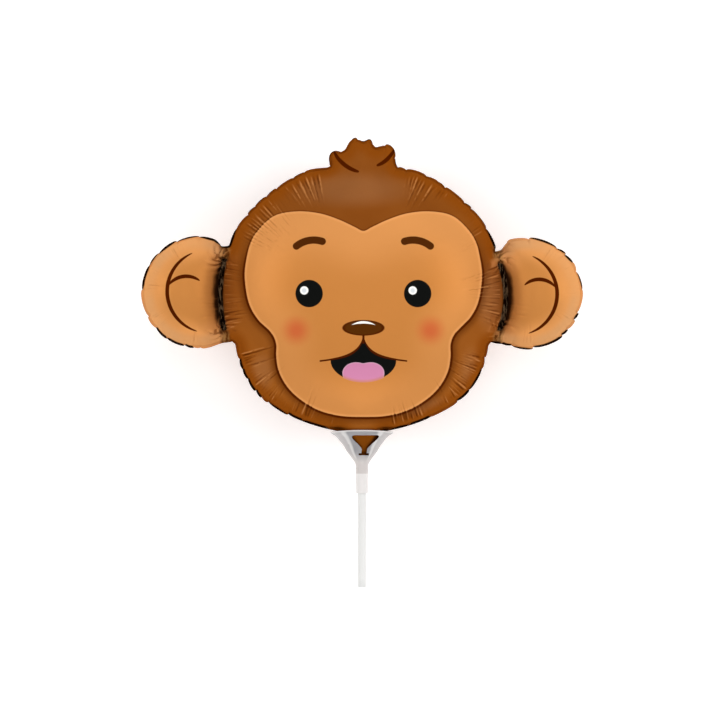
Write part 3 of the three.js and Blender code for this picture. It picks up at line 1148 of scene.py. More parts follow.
    def draw_in(
        self, relief: np.ndarray, pleats: Gathers, line: int, shift: int,
        weight: np.ndarray, above: float = 0.0,
    ) -> None:  # fmt: skip
        """Adds the folds along one weld to a relief.

        Args:
            relief: What they are added to.
            pleats: The folds.
            line: Which weld, by its place in the list of lines.
            shift: What is added to the folds' seed.
            weight: How strong they are at each point.
            above: The depth past the weld that they start over.
        """
        here = (self.owner == line) & (self.depth > above)
        depth, weight = self.depth[here], weight[here]
        relief[here] += pleats.relief(self.along[line][here], depth, weight, shift)

    def skin(self, side: int, height: np.ndarray) -> np.ndarray:
        """One of the two sheets with its folds.

        Args:
            side: 1 for the front and -1 for the back.
            height: The smooth half thickness at each point.

        Returns:
            The points in space, with the welds at z = 0.
        """
        points = np.column_stack([self.places, height])
        normals = self.normals(points)
        steep = np.exp(-self.edge_depth / self.normal_reach)
        normals[:, :2] *= (self.normal_share + (1 - self.normal_share) * steep)[:, None]
        points += normals * self.folds[side][:, None]
        points[:, 2] = np.maximum(points[:, 2], self.weld_half_thickness)
        y = self.places[:, 1]
        fade = np.exp(-self.edge_depth / self.ruffle_reach) * self.ruffle_start.ramp(y)
        points[:, :2] += self.inward * (self.drawn_in * fade)[:, None]
        points[:, 2] *= side
        points[:, 2] += self.ruffle * self.waves() * fade
        points[:, 2] = np.maximum(points[:, 2], -SEAM_HEIGHT)
        return self.cup.press(points, self.edge_depth, self.cup_fit)

    def build(self) -> bpy.types.Object:
        """Makes the balloon's closed mesh, with its pattern map and what its print reads.

        Returns:
            The finished piece.
        """
        self.lay_out()
        share = self.pressure().clip(0, 1)
        puffed = HALF_THICKNESS * np.sqrt(1 - (1 - share) ** self.puff_power)
        height = np.maximum(puffed, self.weld_half_thickness)
        count = len(self.places)
        self.drawn_in, self.dark = self.facets()
        self.folds = {side: self.creases(side) for side in (1, -1)}
        points = np.vstack([self.skin(1, height), self.skin(-1, height)])
        points[:, 2] += SEAM_HEIGHT
        front = self.triangles
        back = front[:, ::-1] + count
        directed = np.vstack([front[:, [0, 1]], front[:, [1, 2]], front[:, [2, 0]]])
        forward = directed[:, 0] * count + directed[:, 1]
        backward = directed[:, 1] * count + directed[:, 0]
        a, b = directed[~np.isin(forward, backward)].T
        walls = np.column_stack([b, a, a + count, b + count])
        mesh = bpy.data.meshes.new("foil_envelope")
        faces = [*front.tolist(), *back.tolist(), *walls.tolist()]
        mesh.from_pydata((points * MM).tolist(), [], faces)
        piece = bpy.data.objects.new("foil_envelope", mesh)
        bpy.context.scene.collection.objects.link(piece)
        self.mark(mesh, count)
        smooth(piece, 85)
        return piece

    def mark(self, mesh: bpy.types.Mesh, count: int) -> None:
        """Puts on the mesh what the print follows: the flat pattern and distances on it.

        Args:
            mesh: The balloon's mesh, front skin first.
            count: How many points each skin has.
        """
        patch = SeamLine(self.pattern.face_patch(), self.pattern.patch_inset, 0)
        roots = [line.nearest(self.places)[0] for line in self.lines[1:]]
        twice = {
            "edge_depth": self.edge_depth,
            "edge_shade_width": self.dark,
            "weld_depth": np.min(roots, axis=0),
            "patch_depth": patch.nearest(self.places)[0],
        }
        values = {name: np.concatenate([v, v]) for name, v in twice.items()}
        values["front"] = np.repeat([1.0, 0.0], count)
        values["fold"] = np.concatenate([self.folds[1], self.folds[-1]])
        x, y = self.places.T
        right, left = (self.pattern.root_reach(ear, y) for ear in self.pattern.ears)
        values["root_gap"] = np.tile(abs(x) - np.where(x > 0, right, left), 2)
        for name, value in values.items():
            layer = mesh.attributes.new(name, "FLOAT", "POINT")
            layer.data.foreach_set("value", value.astype(np.float32))
        corners = np.zeros(len(mesh.loops), np.int32)
        mesh.loops.foreach_get("vertex_index", corners)
        flat = np.vstack([self.places, self.places])[corners] / PATTERN_SPAN + 0.5
        layer = mesh.uv_layers.new(name=PATTERN_MAP)
        layer.uv.foreach_set("vector", flat.astype(np.float32).ravel())


# The print on the foil


@dataclass(frozen=True)
class Stroke:
    """A tapered line along part of a circle, turning both ways from its middle, in degrees."""

    x: float
    y: float
    radius: float
    middle: float
    reach: float
    half_width: float = 1.3
    taper: float = 0.45


@dataclass(frozen=True)
class FaceInks:
    """The colours of the print, and of the painted highlights and shade over it."""

    brown: Ink = Ink(136, 75, 26)
    brown_deep: Ink = Ink(128, 68, 20)
    # Painted shade: a deeper brown near the edge, where the foil turns away.
    shaded_brown_edge: Ink = Ink(133, 67, 10)
    # Painted light: the brown is lighter towards the bottom.
    brown_lit_low: Ink = Ink(152, 86, 30)
    line: Ink = Ink(74, 24, 0)
    tan: Ink = Ink(196, 127, 63)
    # A pale tan for the patch's rim, and for the painted highlights on the patch, the ears' rims
    # and the folds' lips.
    pale_tan_and_highlight: Ink = Ink(229, 158, 94)
    ear: Ink = Ink(196, 129, 66)
    cheek: Ink = Ink(198, 86, 49)
    black: Ink = Ink(17, 18, 17)
    # Printed dark airbrush and painted shade along the ears' roots, and painted shade in the weld
    # strips.
    shade: Ink = Ink(30, 14, 6)
    nose: Ink = Ink(84, 43, 8)
    brow: Ink = Ink(77, 37, 8)
    white: Ink = Ink(250, 248, 242)
    glint: Ink = Ink(214, 218, 220)
    tongue: Ink = Ink(204, 131, 167)
    # Painted shade and dark reflection of the turned flange along the edge.
    edge: Ink = Ink(24, 10, 4)
    # The grey-brown of the weld strip, with painted glints on its crinkles.
    weld: Ink = Ink(150, 122, 92)
    # Painted light and shade on the crumpled foil at the ends of the ears' roots.
    crumple_lit: Ink = Ink(136, 96, 52)
    crumple_shade: Ink = Ink(84, 48, 18)
    # Painted shade: the darker brown of the neck inside the cup.
    neck: Ink = Ink(122, 64, 12)
    # Painted highlight: the greyish soft highlight mixed over the brown and the ears.
    painted_sheen: Ink = Ink(188, 149, 109)


@dataclass
class FoilPrint:
    """The monkey's face and colours as they are printed on the two sheets, under painted highlights
    and shade.

    A feature is given by its place, from the middle of the face, and its radius or half sizes.
    A step runs over millimetres on the flat pattern, or over the value of a cloud or a fold.
    """

    inks: FaceInks = FaceInks()
    finish: Finish = Finish(roughness=0.43, specular=0.0, tint=(1.0, 0.6, 0.3, 1.0), metallic=0.16)
    eye: tuple[float, float, float] = (36.7, 1.4, 9.25)
    glint: tuple[float, float, float] = (-3.35, 2.1, 2.8)
    brow: Stroke = Stroke(33.6, 18.7, 18.9, 79.7, 28.0, 2.5, 0)
    cheek: tuple[float, float, float] = (45.5, -23.5, 9.5)
    nose: tuple[float, float, float] = (-21.8, 14.3, 5.3)
    lip: tuple[float, float, float, float] = (-46.1, 21.23, 8.16, 0.6)
    lip_reach: float = 29.6
    mouth: tuple[float, float, float] = (-43.8, 22.2, 14.35)
    tongue: tuple[float, float, float, float] = (5.2, -52.3, 9.0, 7.15)
    tongue_softness: float = 1.5
    ear_strokes: tuple[Stroke, ...] = (
        Stroke(104.4, 1.24, 28.04, 357.2, 69),
        Stroke(120.17, -3.27, 14.45, 86.1, 47),
        Stroke(-103.94, 3.08, 28.28, 183.5, 70),
        Stroke(-119.22, -1.89, 15.18, 98.0, 45),
    )
    tuft_strokes: tuple[Stroke, ...] = (
        Stroke(4.09, 108.48, 25.22, 229.9, 26, 1.45, 0.3),
        Stroke(2.67, 108.0, 21.04, 313.1, 23, 1.35, 0.3),
    )
    deep_clouds: Step = Step(0.3, 0.75)
    light_below: Step = Step(70, -70)
    brown_at_edge: Step = Step(12, 4, 0.85)
    # Painted soft highlights: how they fade past their ovals and away from the edge.
    sheen_oval: Step = Step(1.2, 0.3)
    sheen_off_edge: Step = Step(3, 10, 0.12)
    # Painted shade: where the neck inside the cup turns darker.
    neck_shade_below: Step = Step(-88, -94)
    # Painted highlight: how far in the ears' rims are painted lighter.
    lit_ear_rim: Step = Step(22, 4, 0.85)
    # Painted highlight on the ears: greyish clouds near their rims.
    ear_sheen_clouds: Step = Step(0.36, 0.66, 0.28)
    least_ear_sheen: float = 0.14
    ear_sheen_at_edge: Step = Step(11, 5)
    shade_along_root: Step = Step(31, 12)
    shade_at_root: Step = Step(1.1, 0.5, 0.95)
    crumple_at_root: Step = Step(4.5, 1.5, 0.85)
    crumple_along_root: Step = Step(20, 25)
    crumple_clouds: Step = Step(0.46, 0.54)
    halo_low: Step = Step(54, 10)
    halo: Step = Step(-7.5, -0.5)
    patch_rim: Step = Step(2.0, 0.4, 0.65)
    # Painted highlights: the patch is painted lighter at its sides and top.
    lit_patch_side: Step = Step(36, 6, 0.3)
    lit_patch_top: Step = Step(5, 55, 0.35)
    glint_middle: Step = Step(2.2, 1.0)
    lip_middle: Step = Step(22, 6, 0.6)
    tongue_rim: Step = Step(0.92, 1.0, 0.3)
    tongue_foot: Step = Step(2.2, -0.4, 0.6)
    groove_ends: Step = Step(4.5, 3.8)
    nose_rim: Step = Step(0.78, 0.98)
    # Painted highlight on the folds' lips and painted shade in the folds.
    lit_lips: Step = Step(0.04, 0.5, 0.34)
    dark_folds: Step = Step(-0.04, -0.6)
    weld_strands: Step = Step(0.47, 0.6)
    weld_width: Step = Step(1.1, 0.1)
    metal_off_edge: Step = Step(1, 14)
    bump_height: float = 0.18
    # Ovals where the brown gets a painted soft highlight.
    painted_sheens: tuple[Oval, ...] = (
        Oval(-6, 72, 44, 13),
        Oval(86, -2, 10, 24),
        Oval(-68, -52, 9, 14),
        Oval(74, -54, 9, 20),
        Oval(44, -76, 24, 9),
    )

    def start(self) -> None:
        """Makes the shader and reads the flat pattern's coordinates in millimetres."""
        self.shader = Shader("printed_foil", self.finish)
        place = self.shader.node("ShaderNodeUVMap", {"uv_map": PATTERN_MAP})
        split = self.shader.node("ShaderNodeSeparateXYZ", None, {0: place})
        across, up = (Socket(self.shader, split.output.node.outputs[k]) for k in (0, 1))
        self.x = (across - 0.5) * PATTERN_SPAN
        self.y = (up - 0.5) * PATTERN_SPAN
        self.out = abs(self.x - FACE_AXIS)
        self.place = place
        self.front = self.shader.attribute("front")

    def within(self, depth: Socket, softness: float = 0.22) -> Socket:
        """A mask that is 1 where a depth is over 0."""
        return self.shader.rise(depth, Step(-softness, softness))

    def distance(self, x: Socket, y: Socket) -> Socket:
        """The length of a step with these two parts."""
        return (x * x + y * y) ** 0.5

    def stroke(self, line: Stroke, mirrored: bool = False) -> Socket:
        """The mask of a tapered line.

        Args:
            line: The circle and the part of it.
            mirrored: Whether it is drawn on both sides of the face's axis.

        Returns:
            The mask.
        """
        across = (self.out if mirrored else self.x) - line.x
        up = self.y - line.y
        turn = math.radians(line.middle)
        ahead = across * math.cos(turn) + up * math.sin(turn)
        aside = up * math.cos(turn) - across * math.sin(turn)
        reach = math.radians(line.reach)
        angle = self.shader.maths("ARCTAN2", aside, ahead)
        angle = self.shader.maths("MAXIMUM", self.shader.maths("MINIMUM", angle, reach), -reach)
        share = angle / reach
        width = ((1.0001 - share * share) ** line.taper) * line.half_width
        near_x = self.shader.maths("COSINE", angle) * line.radius
        near_y = self.shader.maths("SINE", angle) * line.radius
        return self.within(width - self.distance(ahead - near_x, aside - near_y))

    def ground(self) -> Socket:
        """The brown of the head and the tan of the ears on both sheets, with painted highlights and
        shade.

        Returns:
            Their colour.
        """
        ink, shader = self.inks, self.shader
        clouds = shader.noise(self.place, Clouds(9, 3))
        colour = shader.mix(shader.rise(clouds, self.deep_clouds), ink.brown, ink.brown_deep)
        # Painted light: the brown is lighter towards the bottom.
        colour = shader.mix(shader.rise(self.y, self.light_below), colour, ink.brown_lit_low)
        edge = shader.attribute("edge_depth")
        # Painted shade: the brown is deeper towards the edge, where the foil turns away.
        colour = shader.mix(shader.rise(edge, self.brown_at_edge), colour, ink.shaded_brown_edge)
        # Painted highlights: soft greyish ovals on the brown, kept off the edge.
        for painted_sheen in self.painted_sheens:
            across = (self.x - painted_sheen.x) / painted_sheen.half_width
            off = self.distance(across, (self.y - painted_sheen.y) / painted_sheen.half_height)
            shine = shader.rise(off, self.sheen_oval) * shader.rise(edge, self.sheen_off_edge)
            colour = shader.mix(shine, colour, ink.painted_sheen)
        # Painted shade: the neck inside the cup is darker.
        colour = shader.mix(shader.rise(self.y, self.neck_shade_below), colour, ink.neck)
        root = shader.attribute("root_gap")
        ears = self.within(root - 0.6, 0.6)
        colour = shader.mix(ears, colour, ink.ear)
        # The ears are painted lighter towards their rims: a painted highlight.
        colour = shader.mix(shader.rise(edge, self.lit_ear_rim) * ears, colour, ink.pale_tan_and_highlight)
        # Painted highlight: greyish clouds on the ears near their rims.
        ear_sheen = shader.rise(shader.noise(self.place, Clouds(14, 2)), self.ear_sheen_clouds)
        ear_sheen = (ear_sheen + self.least_ear_sheen) * shader.rise(edge, self.ear_sheen_at_edge)
        colour = shader.mix(ears * ear_sheen, colour, ink.painted_sheen)
        crinkle = shader.noise(self.place, Clouds(160, 5, stretch=0.35))
        # Printed dark airbrush and painted shade along each ear's root, of a random width.
        reach = (crinkle * 4.0 + 4.0) * shader.rise(abs(self.y), self.shade_along_root)
        near = shader.rise(root / (reach + 0.1), self.shade_at_root)
        colour = shader.mix(near * ears, colour, ink.shade)
        # Painted light and shade on the crumpled foil at both ends of each ear's root.
        ends = shader.rise(abs(root - 0.5), self.crumple_at_root)
        ends = ends * shader.rise(abs(self.y), self.crumple_along_root)
        lit = shader.rise(crinkle, self.crumple_clouds)
        return shader.mix(ends, colour, shader.mix(lit, ink.crumple_shade, ink.crumple_lit))

    def face(self, colour: Socket) -> Socket:
        """The pale patch with the eyes, brows, cheeks, nose and mouth.

        Args:
            colour: What is under it.

        Returns:
            The colour with the face.
        """
        ink, shader = self.inks, self.shader
        depth = shader.attribute("patch_depth")
        low = shader.rise(self.y, self.halo_low)
        halo = shader.rise(depth, self.halo) * low * 0.62
        colour = shader.mix(halo * self.front, colour, ink.line)
        edge = self.within(depth + (low * 0.9 + 0.9), 0.35) * (low * 0.35 + 0.6)
        colour = shader.mix(edge * self.front, colour, ink.line)
        tan = ink.tan
        # The patch is lighter along its rim, and painted lighter at its sides and top as painted
        # highlights.
        lit = ((depth, self.patch_rim), (depth, self.lit_patch_side), (self.y, self.lit_patch_top))
        for value, step in lit:
            tan = shader.mix(shader.rise(value, step), tan, ink.pale_tan_and_highlight)
        x, y, radius = self.cheek
        spot = self.distance(self.out - x, self.y - y)
        tan = shader.mix(shader.rise(spot, Step(radius * 1.35, 1)) * 0.75, tan, ink.cheek)
        tan = shader.mix(self.stroke(self.brow, True), tan, ink.brow)
        x, y, radius = self.eye
        tan = shader.mix(
            self.within(radius - self.distance(self.out - x, self.y - y)), tan, ink.black
        )
        for side in (-1, 1):
            glint_x = FACE_AXIS + side * x + self.glint[0]
            off = self.distance(self.x - glint_x, self.y - (y + self.glint[1]))
            tan = shader.mix(self.within(self.glint[2] - off), tan, ink.white)
            tan = shader.mix(shader.rise(off, self.glint_middle), tan, ink.glint)
        tan = self.muzzle(tan)
        return shader.mix(self.within(depth + 0.2) * self.front, colour, tan)

    def muzzle(self, colour: Socket) -> Socket:
        """The mouth and the nose.

        Args:
            colour: The patch under them.

        Returns:
            The colour with them.
        """
        ink, shader = self.inks, self.shader
        base, height, scale, power = self.lip
        fall = shader.maths("EXPONENT", ((self.out / scale) ** power) * -1.0)
        lip = fall * height + base
        under = lip - self.y
        middle, half_width, depth = self.mouth
        left = shader.maths("MAXIMUM", 1 - (self.out / half_width) ** 2, 0.0)
        bottom = self.y - middle + (left**0.5) * depth
        open_mouth = self.within(under) * self.within(bottom) * self.within(half_width - self.out)
        line_width = 1.15 + shader.rise(self.out, self.lip_middle)
        line = self.within(under) * self.within(line_width - under)
        line = line * self.within(self.lip_reach - self.out)
        colour = shader.mix(open_mouth, colour, ink.black)
        x, y, half_x, half_y = self.tongue
        above = shader.maths("MAXIMUM", self.y - y, (self.y - y) * -0.7)
        aside = (self.out * self.out + self.tongue_softness**2) ** 0.5
        off = self.distance((aside - x) / half_x, above / half_y)
        lobe = self.within((1 - off) * half_y)
        flesh = shader.mix(shader.rise(off, self.tongue_rim), ink.tongue, ink.white)
        flesh = shader.mix(shader.rise(bottom, self.tongue_foot), flesh, ink.tan)
        colour = shader.mix(lobe * self.within(bottom + 0.5), colour, flesh)
        colour = shader.mix(line, colour, ink.line)
        y, half_x, half_y = self.nose
        spike = self.within(0.75 - self.out) * shader.rise(abs(self.y - y + 6.5), self.groove_ends)
        colour = shader.mix(spike, colour, ink.line)
        off = self.distance(self.out / half_x, (self.y - y) / half_y)
        dark = shader.mix(shader.rise(off, self.nose_rim), ink.nose, ink.line)
        colour = shader.mix(self.within((1 - off) * half_y), colour, dark)
        bend = (self.out / 7.9) ** 2
        top = (bend * -2.4 - 17.3) - self.y
        foot = self.y - (bend * -0.9 - 18.9)
        shine = self.within(top, 0.15) * self.within(foot, 0.15)
        return shader.mix(shine, colour, ink.white)

    def lines(self, colour: Socket) -> Socket:
        """The lines in the ears and the hair, over painted light and shade on the folds.

        Args:
            colour: What is under them.

        Returns:
            The colour with the lines, with painted shade in the folds and painted highlights on the
            lips beside them.
        """
        shader = self.shader
        fold = shader.attribute("fold")
        # Painted highlights on the folds' lips and painted shade in the folds, weaker on the patch.
        colour = shader.mix(shader.rise(fold, self.lit_lips), colour, self.inks.pale_tan_and_highlight)
        dark = shader.dim(colour, (0.42, 0.32, 0.22))
        patch = self.within(shader.attribute("patch_depth")) * self.front
        strength = 0.8 - patch * 0.3
        colour = shader.mix(shader.rise(fold, self.dark_folds) * strength, colour, dark)
        for line in (*self.ear_strokes, *self.tuft_strokes):
            colour = shader.mix(self.stroke(line) * self.front, colour, self.inks.line)
        return colour

    def welds(self, colour: Socket) -> Socket:
        """The painted shade and dark reflection along the foil's edge, and the weld at each ear's
        root with painted glints and shade.

        Args:
            colour: What is under them.

        Returns:
            The colour with the welds.
        """
        ink, shader = self.inks, self.shader
        edge = shader.attribute("edge_depth")
        # Painted shade and dark reflection of the turned flange, narrower on the back.
        dark = shader.attribute("edge_shade_width")
        dark = dark * (self.front * 0.4 + 0.6)
        colour = shader.mix(self.within(dark - edge, 0.3), colour, ink.edge)
        # The weld strip at each ear's root: painted glints and shade on its crinkles.
        root = shader.attribute("weld_depth")
        strands = shader.noise(self.place, Clouds(330, 4, stretch=0.2))
        crinkle = shader.rise(strands, self.weld_strands)
        strip = shader.mix(crinkle, ink.shade, ink.weld)
        return shader.mix(shader.rise(root, self.weld_width), colour, strip)

    def dress(self, piece: bpy.types.Object) -> None:
        """Gives the balloon its printed foil.

        Args:
            piece: The balloon.
        """
        self.start()
        colour = self.welds(self.lines(self.face(self.ground())))
        self.shader.set("Base Color", colour)
        edge = self.shader.attribute("edge_depth")
        metal = self.shader.rise(edge, self.metal_off_edge) * self.finish.metallic
        self.shader.set("Metallic", metal)
        self.shader.bump(self.shader.noise(self.place, Clouds(60, 3)), self.bump_height)
        piece.data.materials.append(self.shader.material)


# The cup and the stick


@dataclass
class Cup:
    """The plastic funnel that holds the neck, with its socket for the stick."""

    finish: Finish = Finish(roughness=0.3, specular=0.4, alpha=0.86)
    ink: Ink = Ink(190, 185, 184)
    # Painted shade between the ribs, where the dark foil lies behind the plastic.
    shaded_middle_ink: Ink = Ink(154, 153, 157)
    low_ink: Ink = Ink(216, 209, 206)
    stick_ink: Ink = Ink(240, 236, 234)
    # Painted highlight on the rim and the ribs.
    highlight_ink: Ink = Ink(236, 234, 232)
    stick_top: float = -120.8
    rim_dip: float = 1.2
    dip_reach: float = 4.0
    foil_spread: tuple[float, float] = (1.2, 0.3)
    foil_free: Step = Step(0, 7)
    seam_free: Step = Step(7, 2)
    seam_slot: float = 1.2
    notch: tuple[float, float, float] = (4.0, 2.0, 2.0)
    edge_round: float = 0.18
    sharp_edge: float = 50.0
    rib_angle: float = 37.0
    rib_width: Step = Step(0.16, 0.04)
    rim_depth: Step = Step(-1.1, -0.6)
    rim_radius: float = 21.3
    height: float = 24.6
    wall: float = 1.05
    socket_radius: float = 4.15
    socket_length: float = 18.6
    top_of_socket: float = -115.6
    flare: tuple[tuple[float, float], ...] = (
        (0, 0), (0.03, 0.08), (0.25, 0.3), (0.36, 0.405), (0.47, 0.54), (0.62, 0.675),
        (0.77, 0.8), (0.985, 0.93), (1, 1),
    )  # fmt: skip
    turn: float = 9.0
    window_top: float = 21.0
    window_half_width: float = 9.4
    bowl_depth: float = 9.6
    bowl: tuple[tuple[float, float], ...] = (
        (0.86, 0), (0.96, 0.03), (1, 0.1), (0.96, 0.2), (0.86, 0.32), (0.7, 0.46), (0.54, 0.6),
        (0.38, 0.76), (0.25, 0.9),
    )  # fmt: skip
    stem_half_width: float = 1.9
    stem_length: float = 2.7
    foot_half_width: float = 3.6
    foot_height: float = 1.4
    sides: int = 96

    def outer_line(self) -> np.ndarray:
        """The outside of the funnel from the socket's top to the rim, as radius and y.

        Returns:
            Its points, one to a row.
        """
        shares = np.array(self.flare)
        radii = self.socket_radius + shares[:, 0] * (self.rim_radius - self.socket_radius)
        corners = np.column_stack([radii, self.top_of_socket + shares[:, 1] * self.height])
        return smooth_curve(corners, False, 1.3)

    def profile(self) -> list[tuple[float, float]]:
        """The closed section of the wall with a small bead at the rim and at the socket's end.

        Returns:
            Radius and y of each corner, with the first one again at the end.
        """
        outer = self.outer_line()
        along = np.gradient(outer, axis=0)
        along /= np.linalg.norm(along, axis=1)[:, None]
        inner = outer + np.column_stack([-along[:, 1], along[:, 0]]) * self.wall
        bore = self.socket_radius - self.wall
        inner[:, 0] = np.maximum(inner[:, 0], bore)
        rim = outer[-1]
        bead = [rim + (0.25, -0.9), rim + (0.32, -0.3), rim + (0.1, 0), rim + (-self.wall, 0)]
        foot = self.top_of_socket - self.socket_length
        corners = [(bore, foot), (self.socket_radius, foot), *outer[:-1], *bead, *inner[:-1][::-1]]
        return [(float(r), float(y)) for r, y in [*corners, corners[0]]]

    def press(self, points: np.ndarray, edge_depth: np.ndarray, fit: float) -> np.ndarray:
        """Holds the foil inside the cup's wall.

        Args:
            points: The foil's points, with the cup's axis at z = 0.
            edge_depth: How far each point is from the edge of its sheet.
            fit: The room between the foil and the wall.

        Returns:
            The points with the ones past the wall drawn in.
        """
        outer = self.outer_line()
        room = np.interp(points[:, 1], outer[:, 1], outer[:, 0]) - self.wall - fit
        rim = self.top_of_socket + self.height
        over = np.maximum(points[:, 1] - rim, 0)
        steady, growing = self.foil_spread
        room = room + steady * over + growing * over**2
        radius = np.hypot(points[:, 0], points[:, 2])
        seam = (points[:, 1] > rim - self.seam_slot) * self.seam_free.ramp(edge_depth)
        free = np.maximum(self.foil_free.ramp(over), seam)
        shrink = 1 - (1 - room / np.maximum(radius, room)) * (1 - free)
        points[:, 0] *= shrink
        points[:, 2] *= shrink
        return points

    def window(self) -> list[tuple[float, float]]:
        """The goblet-shaped outline of a window, x and y.

        Returns:
            Its corners in order.
        """
        top = self.top_of_socket + self.window_top
        bowl = top - self.bowl_depth
        stem = bowl - self.stem_length
        half = [(x * self.window_half_width, top - drop * self.bowl_depth) for x, drop in self.bowl]
        half += [
            (self.stem_half_width, bowl),
            (self.stem_half_width, stem),
            (self.foot_half_width, stem),
            (self.foot_half_width, stem - self.foot_height),
        ]
        return half + [(-x, y) for x, y in reversed(half)]

    def build(self) -> bpy.types.Object:
        """Spins the wall, cuts the windows and the notches for the seam, and rounds the edges.

        Returns:
            The finished piece.
        """
        piece = turned_on_axis("cup", self.profile(), self.sides)
        self.crown(piece)
        reach = 2 * self.rim_radius
        windows = prism("windows", self.window(), SEAM_HEIGHT - reach, SEAM_HEIGHT + reach)
        select_only(windows)
        bpy.ops.transform.rotate(
            value=-math.radians(self.turn),
            orient_axis="Y",
            center_override=(0, 0, SEAM_HEIGHT * MM),
        )
        bpy.ops.object.transform_apply(location=True, rotation=True, scale=True)
        cut_away(piece, windows)
        rim = self.top_of_socket + self.height
        for side in Side:
            bpy.ops.object.select_all(action="DESELECT")
            middle = Vector((side.value * self.rim_radius, rim, SEAM_HEIGHT)) * MM
            size = Vector(self.notch) * MM
            bpy.ops.mesh.primitive_cube_add(size=1, location=middle, scale=size)
            slot = bpy.context.object
            bpy.ops.object.transform_apply(location=True, rotation=True, scale=True)
            cut_away(piece, slot)
        apply_modifier(
            piece,
            "BEVEL",
            width=self.edge_round * MM,
            segments=2,
            limit_method="ANGLE",
            angle_limit=math.radians(self.sharp_edge),
            use_clamp_overlap=True,
        )
        smooth(piece, 35)
        return piece

    def crown(self, piece: bpy.types.Object) -> None:
        """Lowers the rim a little at its sides.

        Args:
            piece: The spun wall.
        """
        reach = self.dip_reach
        for vertex in piece.data.vertices:
            up = vertex.co.y / MM - (self.top_of_socket + self.height - reach)
            forward = (vertex.co.z / MM - SEAM_HEIGHT) / self.rim_radius
            vertex.co.y -= self.rim_dip * MM * max(0.0, up / reach) * max(0.0, 1 - forward**2)

    def dress(self, piece: bpy.types.Object) -> None:
        """Gives the cup its frosted plastic, with painted highlights on the rim and on two ribs at
        the front, and painted shade between the ribs where the dark foil lies behind.

        Args:
            piece: The cup.
        """
        shader = Shader("frosted_plastic", self.finish)
        place = shader.node("ShaderNodeTexCoord", output="Object")
        clouds = shader.noise(place, Clouds(160, 2))
        across, up, high = (
            shader.node("ShaderNodeSeparateXYZ", None, {0: place}, axis) / MM for axis in "XYZ"
        )
        top = self.top_of_socket
        turn = abs(shader.maths("ARCTAN2", across, high - SEAM_HEIGHT))
        rib_turn = math.radians(self.rib_angle)
        # Painted shade: darker grey between the ribs, where the dark foil lies behind.
        middle = shader.rise(turn, Step(rib_turn + 0.05, 0.5)) * (1.1 - clouds * 0.5)
        colour = shader.mix(middle, self.ink, self.shaded_middle_ink)
        colour = shader.mix(shader.rise(up, Step(top + 11, top + 1)), colour, self.low_ink)
        under = shader.rise(up, Step(self.stick_top + 0.3, self.stick_top - 0.3))
        colour = shader.mix(under, colour, self.stick_ink)
        # Painted highlights along the two ribs.
        rib = shader.rise(abs(turn - rib_turn), self.rib_width)
        rib = rib * shader.rise(up, Step(top + 3, top + 8))
        colour = shader.mix(rib * 0.6, colour, self.highlight_ink)
        # Painted highlight along the rim.
        forward = (high - SEAM_HEIGHT) / self.rim_radius
        rim = up - (forward * forward - 1) * self.rim_dip - (top + self.height)
        colour = shader.mix(shader.rise(rim, self.rim_depth), colour, self.highlight_ink)
        shader.set("Base Color", colour)
        shader.set("Roughness", clouds * 0.14 + (self.finish.roughness - 0.07))
        shader.bump(rib * 0.6 + clouds * 0.1, 0.4)
        piece.data.materials.append(shader.material)


@dataclass
class Stick:
    """The straight plastic tube pushed up into the cup."""

    top: float
    finish: Finish = Finish(roughness=0.36)
    ink: Ink = Ink(226, 226, 224)
    streak_ink: Ink = Ink(217, 217, 215)
    radius: float = 2.8
    wall: float = 0.7
    length: float = 77.4
    sides: int = 64

    def build(self) -> bpy.types.Object:
        """Spins the tube's wall with its edges slightly rounded.

        Returns:
            The finished piece.
        """
        bore, bottom, edge = self.radius - self.wall, self.top - self.length, 0.15
        bands = np.linspace(bottom + edge, self.top - edge, 13)
        corners = [
            (bore + edge, bottom),
            (self.radius - edge, bottom),
            *((self.radius, float(y)) for y in bands),
            (self.radius - edge, self.top),
            (bore + edge, self.top),
            *((bore, float(y)) for y in bands[::-1]),
            (bore + edge, bottom),
        ]
        piece = turned_on_axis("stick", corners, self.sides)
        smooth(piece, 50)
        return piece

    def dress(self, piece: bpy.types.Object) -> None:
        """Gives the stick its milky plastic with faint streaks along it.

        Args:
            piece: The stick.
        """
        shader = Shader("milky_plastic", self.finish)
        place = shader.node("ShaderNodeTexCoord", output="Object")
        streaks = shader.noise(place, Clouds(900, 2, stretch=0.03))
        shader.set("Base Color", shader.mix(streaks * 0.5, self.ink, self.streak_ink))
        shader.set("Roughness", streaks * 0.16 + (self.finish.roughness - 0.08))
        shader.bump(streaks, 0.03)
        piece.data.materials.append(shader.material)


# The studio


@dataclass(frozen=True)
class SoftBox:
    """A square soft light that faces the balloon. Its place is in metres."""

    name: str
    place: tuple[float, float, float]
    size: float
    power: float

    def hang(self, target: Vector) -> None:
        """Adds the light.

        Args:
            target: The point that it faces.
        """
        light = bpy.data.lights.new(self.name, "AREA")
        light.shape = "SQUARE"
        light.size = self.size
        light.energy = self.power
        lamp = bpy.data.objects.new(self.name, light)
        lamp.location = self.place
        lamp.rotation_euler = (target - Vector(self.place)).to_track_quat("-Z", "Y").to_euler()
        lamp.visible_camera = False
        bpy.context.scene.collection.objects.link(lamp)


